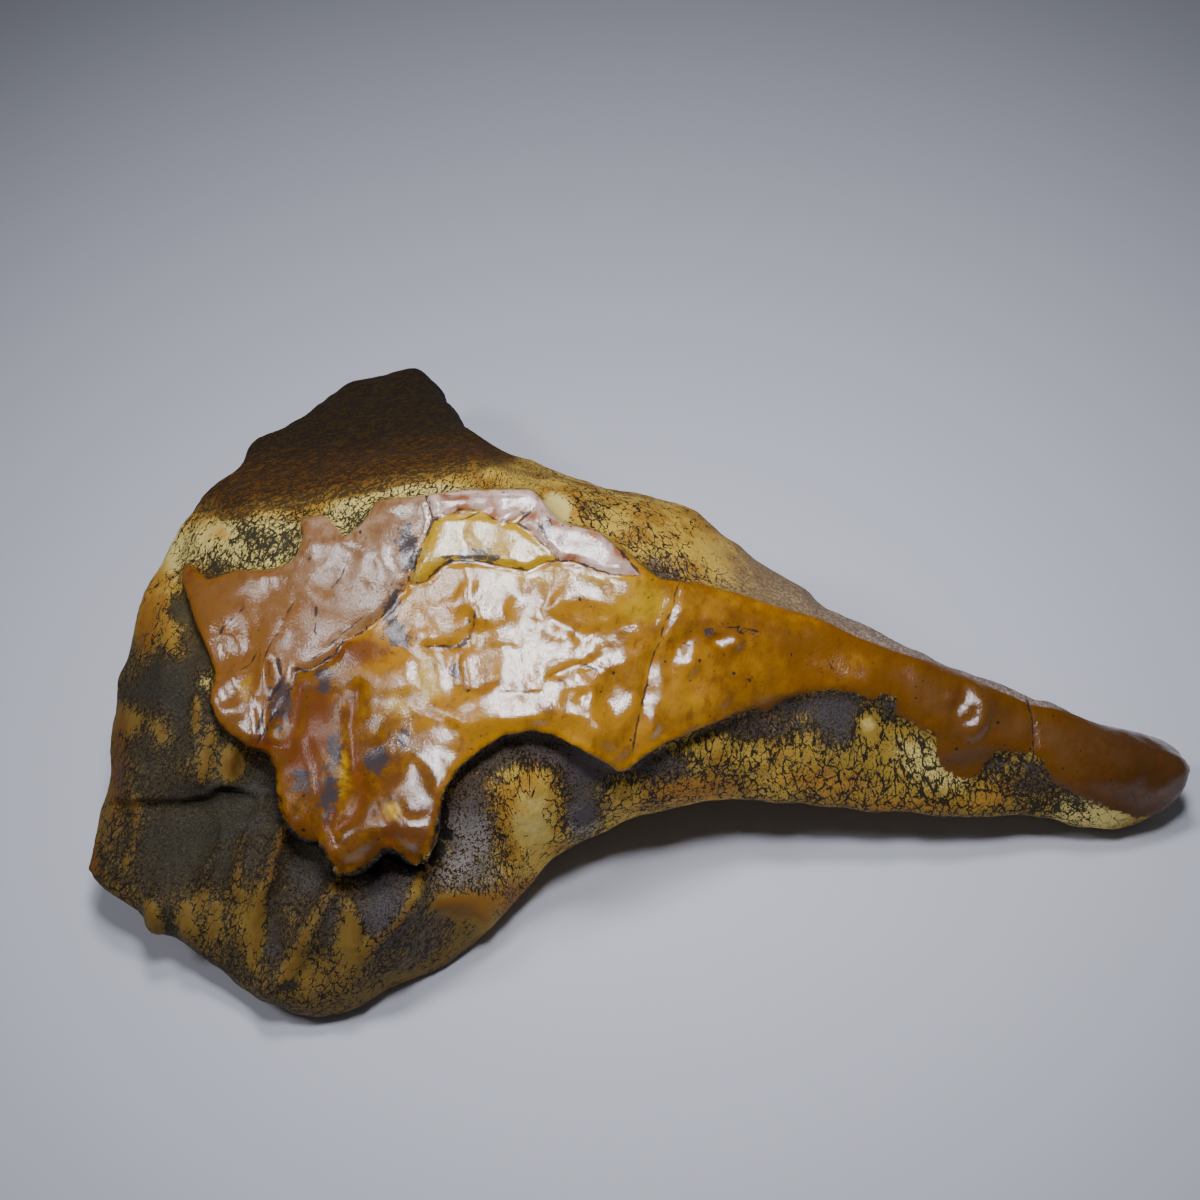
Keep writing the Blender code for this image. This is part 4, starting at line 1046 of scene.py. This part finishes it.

# %% [markdown]
# ## The limb above the crust
# Behind the crust's upper edge a strip of the tail shows, tan near the middle and a dull lavender towards the
# tip, with short dark strokes; the lavender is partly dust and partly painted sheen of light grazing the
# strip.
# It needs no line of its own: a slanting band on the board picks it out.

# %% Limb
above_crust = bench.plus(board_up, bench.times(board_across, 0.33))
limb = bench.times(bench.ramp(above_crust, 13, 14.5), in_view)
limb = bench.times(limb, bench.ramp(torn(board_across, 6), 4, 14))
# Painted sheen: the lavender towards the tip is partly dust and partly the sheen of grazing light painted in.
limb_ground = bench.colour(bench.ramp(board_across, 12, 30), LIMB_TAN, LAVENDER)
along_limb = bench.turned(on_board, -25, (0.35, 0.7, 0.35))
limb_strokes = bench.effect(stain, point=along_limb, cover=0.5, softness=0.04)
limb_colour = bench.colour(bench.times(limb_strokes, 0.75), limb_ground, LAVENDER_DARK)
matrix_colour = bench.colour(limb, matrix_colour, limb_colour)

# %% [markdown]
# ## The back slope of the spur
# Past the brow the rock falls away dark brown, with a network of fine strokes like old leather. The
# distance past the brow leads the colour from ochre through orange to umber. The border is crisp on the
# left, and fades slowly on the right, where the slope turns more gently.

# %% Back slope
STROKES, STROKE_CELLS = -68, (0.3, 1.5, 0.4)  # degrees; cells in mm
CRACKLE, CRACKLE_CELLS = -60, (0.45, 0.7, 0.45)

past_brow = torn(brow_depth, 2)
back = bench.colour(bench.ramp(past_brow, 0.2, 2.2), BACK_OCHRE, BACK_ORANGE)
back = bench.colour(bench.ramp(bench.plus(past_brow, bench.times(board_across, 0.08)), 0.5, 5), back, UMBER)
back_ink = bench.effect(stain, point=bench.turned(on_board, STROKES, STROKE_CELLS), cover=0.35, softness=0.03)
crackle = bench.effect(veins, point=bench.turned(on_board, CRACKLE, CRACKLE_CELLS), width=0.2, gaps=0.4)
back = bench.colour(bench.times(bench.most(back_ink, crackle), 0.75), back, INK)
softer = bench.ramp(board_across, -20, -8, 0.25, 5)
behind = bench.ramp(torn(brow_depth, 1.2), -0.15, softer)
matrix_colour = bench.colour(behind, matrix_colour, back)
print("nodes so far:", len(material.node_tree.nodes))

# %% [markdown]
# ## The crust
# The crust is clear amber in the middle, darker brown towards the tail's tip and on the lobes, and tan on the
# left plate, lighter towards its upper right, where the lighter tan is painted sheen. The upper plates are
# pink, lighter on the rises of their crumpled relief and darker in its hollows, which is painted light and
# shade; the middle one is yellow. Each tone replaces the one before inside its own torn border, as one bed of
# the real stone lies over another. The grooves are darkened towards rust-brown as painted shade, and tiny
# black pin pricks are scattered all over.

# %% Tones along the crust
mottle = bench.noise(in_mm, 0.22, detail=4, roughness=0.6)
patchy = bench.ramp(bench.noise(in_mm, 0.45, detail=5, roughness=0.65), 0.4, 0.65)
deepening = bench.ramp(bench.plus(mottle, bench.times(board_across, 0.012)), 0.36, 0.76)
skin = bench.colour(deepening, AMBER, DEEP_AMBER)
skin = bench.colour(bench.ramp(wandering, 14, 36), skin, TAIL_BROWN)
skin = bench.colour(bench.ramp(wandering, 42, 54), skin, TIP_BROWN)
lobes = bench.ramp(torn(bench.plus(board_across, board_up), 8), -17, -32)
skin = bench.colour(bench.times(lobes, bench.ramp(patchy, 0, 1, 0.97, 0.75)), skin, LOBE_BROWN)

# %% Plates and spots
# Painted sheen: towards the left plate's upper right its tan turns lighter where the lamps' sheen lies; the
# same patch also gets a lower roughness further down.
sheen_patch = bench.ramp(bench.plus(board_across, bench.times(board_up, 0.8)), -38, -12)
sheen_patch = bench.times(bench.ramp(patchy, 0, 1, 0.35, 1), sheen_patch)
# Painted light and shade on the pink sheets: the lighter pink lies on the rises of their crumpled relief, the
# darker pink in its hollows.
folds = bench.ramp(torn(crumple, 0.5), -0.4, 0.1, 0, 1)
skin = bench.colour(bench.ramp(torn(left_sheet, 0.8), -0.3, 0.5), skin, bench.colour(sheen_patch, TAN, SHEEN_TAN))
skin = bench.colour(bench.ramp(torn(yellow, 1.2), 0.15, 0.9, 0, 0.9), skin, HONEY)
skin = bench.colour(bench.ramp(torn(red, 1.4), 0.2, 0.9, 0, 0.85), skin, RUST)
middle_tone = bench.colour(bench.ramp(mottle, 0.55, 0.8), HONEY, CREAM)
skin = bench.colour(bench.ramp(middle_sheet, -0.1, 0.2), skin, middle_tone)
skin = bench.colour(bench.ramp(upper_sheet, -0.1, 0.2), skin, bench.colour(folds, PINK, LIT_PINK))
grey_cover = bench.sum("MULTIPLY_ADD", grey, 1.0, -0.35)
grey_spots = bench.effect(stain, point=in_mm, cover=grey_cover, softness=0.04)
skin = bench.colour(bench.times(grey_spots, 0.9), skin, CHALCEDONY)

# %% Rust, painted shade in the grooves, and pin pricks
blush = bench.noise(bench.turned(on_board, -15, (0.8, 1.6, 1)), 1, detail=4, roughness=0.6)
skin = bench.colour(bench.ramp(blush, 0.5, 0.72, 0, 0.5), skin, RUST)
# Painted shade: the grooves are darkened towards rust-brown.
skin = bench.colour(bench.ramp(torn(groove_shade, 0.3), 0.12, 0.45, 0, 0.6), skin, RUST)
flecks = bench.effect(specks, point=in_mm, spacing=0.9, share=0.18)
pin_pricks = bench.effect(specks, point=in_mm, spacing=0.5, share=0.16)
skin = bench.colour(bench.times(bench.most(flecks, pin_pricks), 0.85), skin, INK)
print("nodes so far:", len(material.node_tree.nodes))

# %% [markdown]
# ## Edges and cracks
# The crust ends in small teeth where the amber crept into the rock. Below the bold part of the lip lies a
# dark line of painted shade, standing for the shadow in the cleft under the lip. Cracks and the borders of
# the plates are hair lines, filled with blue-black. All are drawn from stored distances, so that they keep
# one width however the mesh runs.

# %% Edges and cracks
CRACK_WIDTH, BORDER_WIDTH, LEFT_BORDER_WIDTH = 0.6, 0.12, 0.1
SEAM_STRENGTH, LIP_SHADE_STRENGTH = 0.85, 0.9

lower_edge = bench.ramp(above_crust, 14, 12, 0.1, 1)
teeth = bench.times(bench.times(ragged, bench.ramp(board_across, 5, 20, 0.6, 1.6)), lower_edge)
crust_mask = bench.ramp(bench.plus(bench.sum("MULTIPLY_ADD", lip, 0.12, edge_depth), teeth), -0.1, 0.1)
colour = bench.colour(crust_mask, matrix_colour, skin)

# Painted shade: a dark line just outside the lip's bold part stands for the shadow in the cleft below it.
below_lip = bench.plus(edge_depth, bench.ramp(lip, 2.6, 3.4, 0.6, 1.2))
shade_width = bench.ramp(lip, 2.7, 3.3, 0, 0.8)
lip_shade = bench.effect(drawn_line, point=in_mm, distance=below_lip, width=shade_width, wobble=0.8)
colour = bench.colour(bench.times(lip_shade, LIP_SHADE_STRENGTH), colour, INK)

cracks = bench.effect(drawn_line, point=in_mm, distance=crack_gap, width=CRACK_WIDTH, wobble=1.5)
cracks = bench.times(bench.times(cracks, crack_ends), in_view)
middle_border, upper_border, left_border = (
    bench.effect(drawn_line, point=in_mm, distance=sheet, width=width, wobble=wobble)
    for sheet, width, wobble in (
        (middle_sheet, BORDER_WIDTH, 0.5), (upper_sheet, BORDER_WIDTH, 0.5),
        (left_sheet, LEFT_BORDER_WIDTH, 0.9),
    )
)
borders = bench.times(bench.most(middle_border, upper_border, left_border), crust_mask)
seam = bench.most(borders, cracks)
colour = bench.colour(bench.times(seam, SEAM_STRENGTH), colour, CRACK_BLUE)
bench.wire(colour, shader.inputs["Base Color"])
print("nodes so far:", len(material.node_tree.nodes))

# %% [markdown]
# ## Gloss and touch
# Sand has polished the crust like glass, while the matrix stays dry. A coat over a dull base gives that
# double look: sharp lamps on top, soft colour beneath. A low roughness on the base alone would wash the
# colours out. The coat thins out where the polish is worn off, along the crust's rim and over the cracks.

# %% Gloss
MATRIX_ROUGHNESS, FILM_ROUGHNESS, BACK_ROUGHNESS, CRUST_ROUGHNESS = 0.65, 0.7, 0.85, 0.6
SHEEN_ROUGHNESS = 0.26
POLISH_ROUGHNESS, POLISH_IOR = 0.16, 2.1
BASE_SPECULAR = 0.14

rough = bench.ramp(behind, 0, 1, MATRIX_ROUGHNESS, BACK_ROUGHNESS)
rough = bench.add("ShaderNodeMix", {0: film, 2: rough, 3: FILM_ROUGHNESS}).outputs[0]
crust_rough = bench.ramp(sheen_patch, 0, 1, CRUST_ROUGHNESS, SHEEN_ROUGHNESS)
rough = bench.add("ShaderNodeMix", {0: crust_mask, 2: rough, 3: crust_rough}).outputs[0]
bench.wire(rough, shader.inputs["Roughness"])

rim = bench.ramp(edge_depth, 0.1, bench.ramp(board_across, 4, 14, 1, 3))
polish = bench.times(bench.times(crust_mask, rim), bench.ramp(torn(dull, 0.8), 0, 1.1, 1, 0.1))
bench.wire(bench.times(polish, bench.ramp(seam, 0, 1, 1, 0.2)), shader.inputs["Coat Weight"])
shader.inputs["Specular IOR Level"].default_value = BASE_SPECULAR
shader.inputs["Coat Roughness"].default_value = POLISH_ROUGHNESS
shader.inputs["Coat IOR"].default_value = POLISH_IOR

# %% Touch
BUMP_DEPTH = 0.0002  # metres
BASE_BUMP, COAT_BUMP = 0.5, 0.27

fine = bench.noise(in_mm, 2.6, detail=4, roughness=0.65)
pores = bench.noise(in_mm, 4.5, detail=2, roughness=0.75)
sunk = bench.plus(bench.times(seam, -1.2), bench.times(bench.most(flecks, pin_pricks, dots), -0.35))
height = bench.plus(bench.plus(bench.times(fine, 0.5), bench.times(pores, 0.4)), sunk)
coat_height = bench.plus(bench.times(fine, 0.4), bench.times(pores, 0.6))
for level, strength, socket in ((height, BASE_BUMP, "Normal"), (coat_height, COAT_BUMP, "Coat Normal")):
    bump = bench.add("ShaderNodeBump", {"Height": level, "Strength": strength, "Distance": BUMP_DEPTH})
    bench.wire(bump.outputs[0], shader.inputs[socket])
print("material nodes:", len(material.node_tree.nodes))

# %% [markdown]
# ## Floor and light
# The stone lies on a plain pale floor, under three soft round lamps: the key above it, one nearly overhead
# and one from the left. The gloss of the crust shows each of them on the facets that face it, so the lamps
# are kept small and close. A faint, even sky fills the shadows.

# %% Floor
FLOOR_SIZE, FLOOR_COLOUR, FLOOR_ROUGHNESS = 2.5, (0.7, 0.72, 0.8, 1), 0.9

floor_mesh = bmesh.new()
bmesh.ops.create_grid(floor_mesh, x_segments=1, y_segments=1, size=FLOOR_SIZE)
floor_data = bpy.data.meshes.new("floor")
floor_mesh.to_mesh(floor_data)
floor_mesh.free()
floor = bpy.data.objects.new("floor", floor_data)
bpy.context.scene.collection.objects.link(floor)
floor_material = bpy.data.materials.new("floor")
floor_material.use_nodes = True
floor_shader = floor_material.node_tree.nodes["Principled BSDF"]
floor_shader.inputs["Base Color"].default_value = FLOOR_COLOUR
floor_shader.inputs["Roughness"].default_value = FLOOR_ROUGHNESS
floor_data.materials.append(floor_material)

# %% Light
SKY_COLOUR, SKY_STRENGTH = (0.8, 0.82, 0.9, 1), 0.08
LAMP_COLOUR = (0.92, 0.93, 1)

world = bpy.data.worlds.new("studio")
bpy.context.scene.world = world
world.use_nodes = True
world.node_tree.nodes["Background"].inputs["Color"].default_value = SKY_COLOUR
world.node_tree.nodes["Background"].inputs["Strength"].default_value = SKY_STRENGTH


def softbox(name, place, size, energy, spread):
    """A round lamp at a place, turned to the stone; sizes in metres, energy in watts, spread in degrees."""
    light = bpy.data.objects.new(name, bpy.data.lights.new(name, "AREA"))
    bpy.context.scene.collection.objects.link(light)
    light.data.shape = "DISK"
    light.data.size = size
    light.data.energy = energy
    light.data.spread = radians(spread)
    light.data.color = LAMP_COLOUR
    light.location = place
    light.rotation_euler = Vector(place).to_track_quat("Z", "Y").to_euler()


softbox("key", (0.0, -0.1, 0.4), size=0.075, energy=0.045, spread=40)
softbox("top", (-0.02, 0.03, 0.41), size=0.085, energy=0.035, spread=40)
softbox("left", (-0.275, -0.1, 0.36), size=0.085, energy=0.036, spread=50)
print("lights:", [item.name for item in bpy.data.lights])
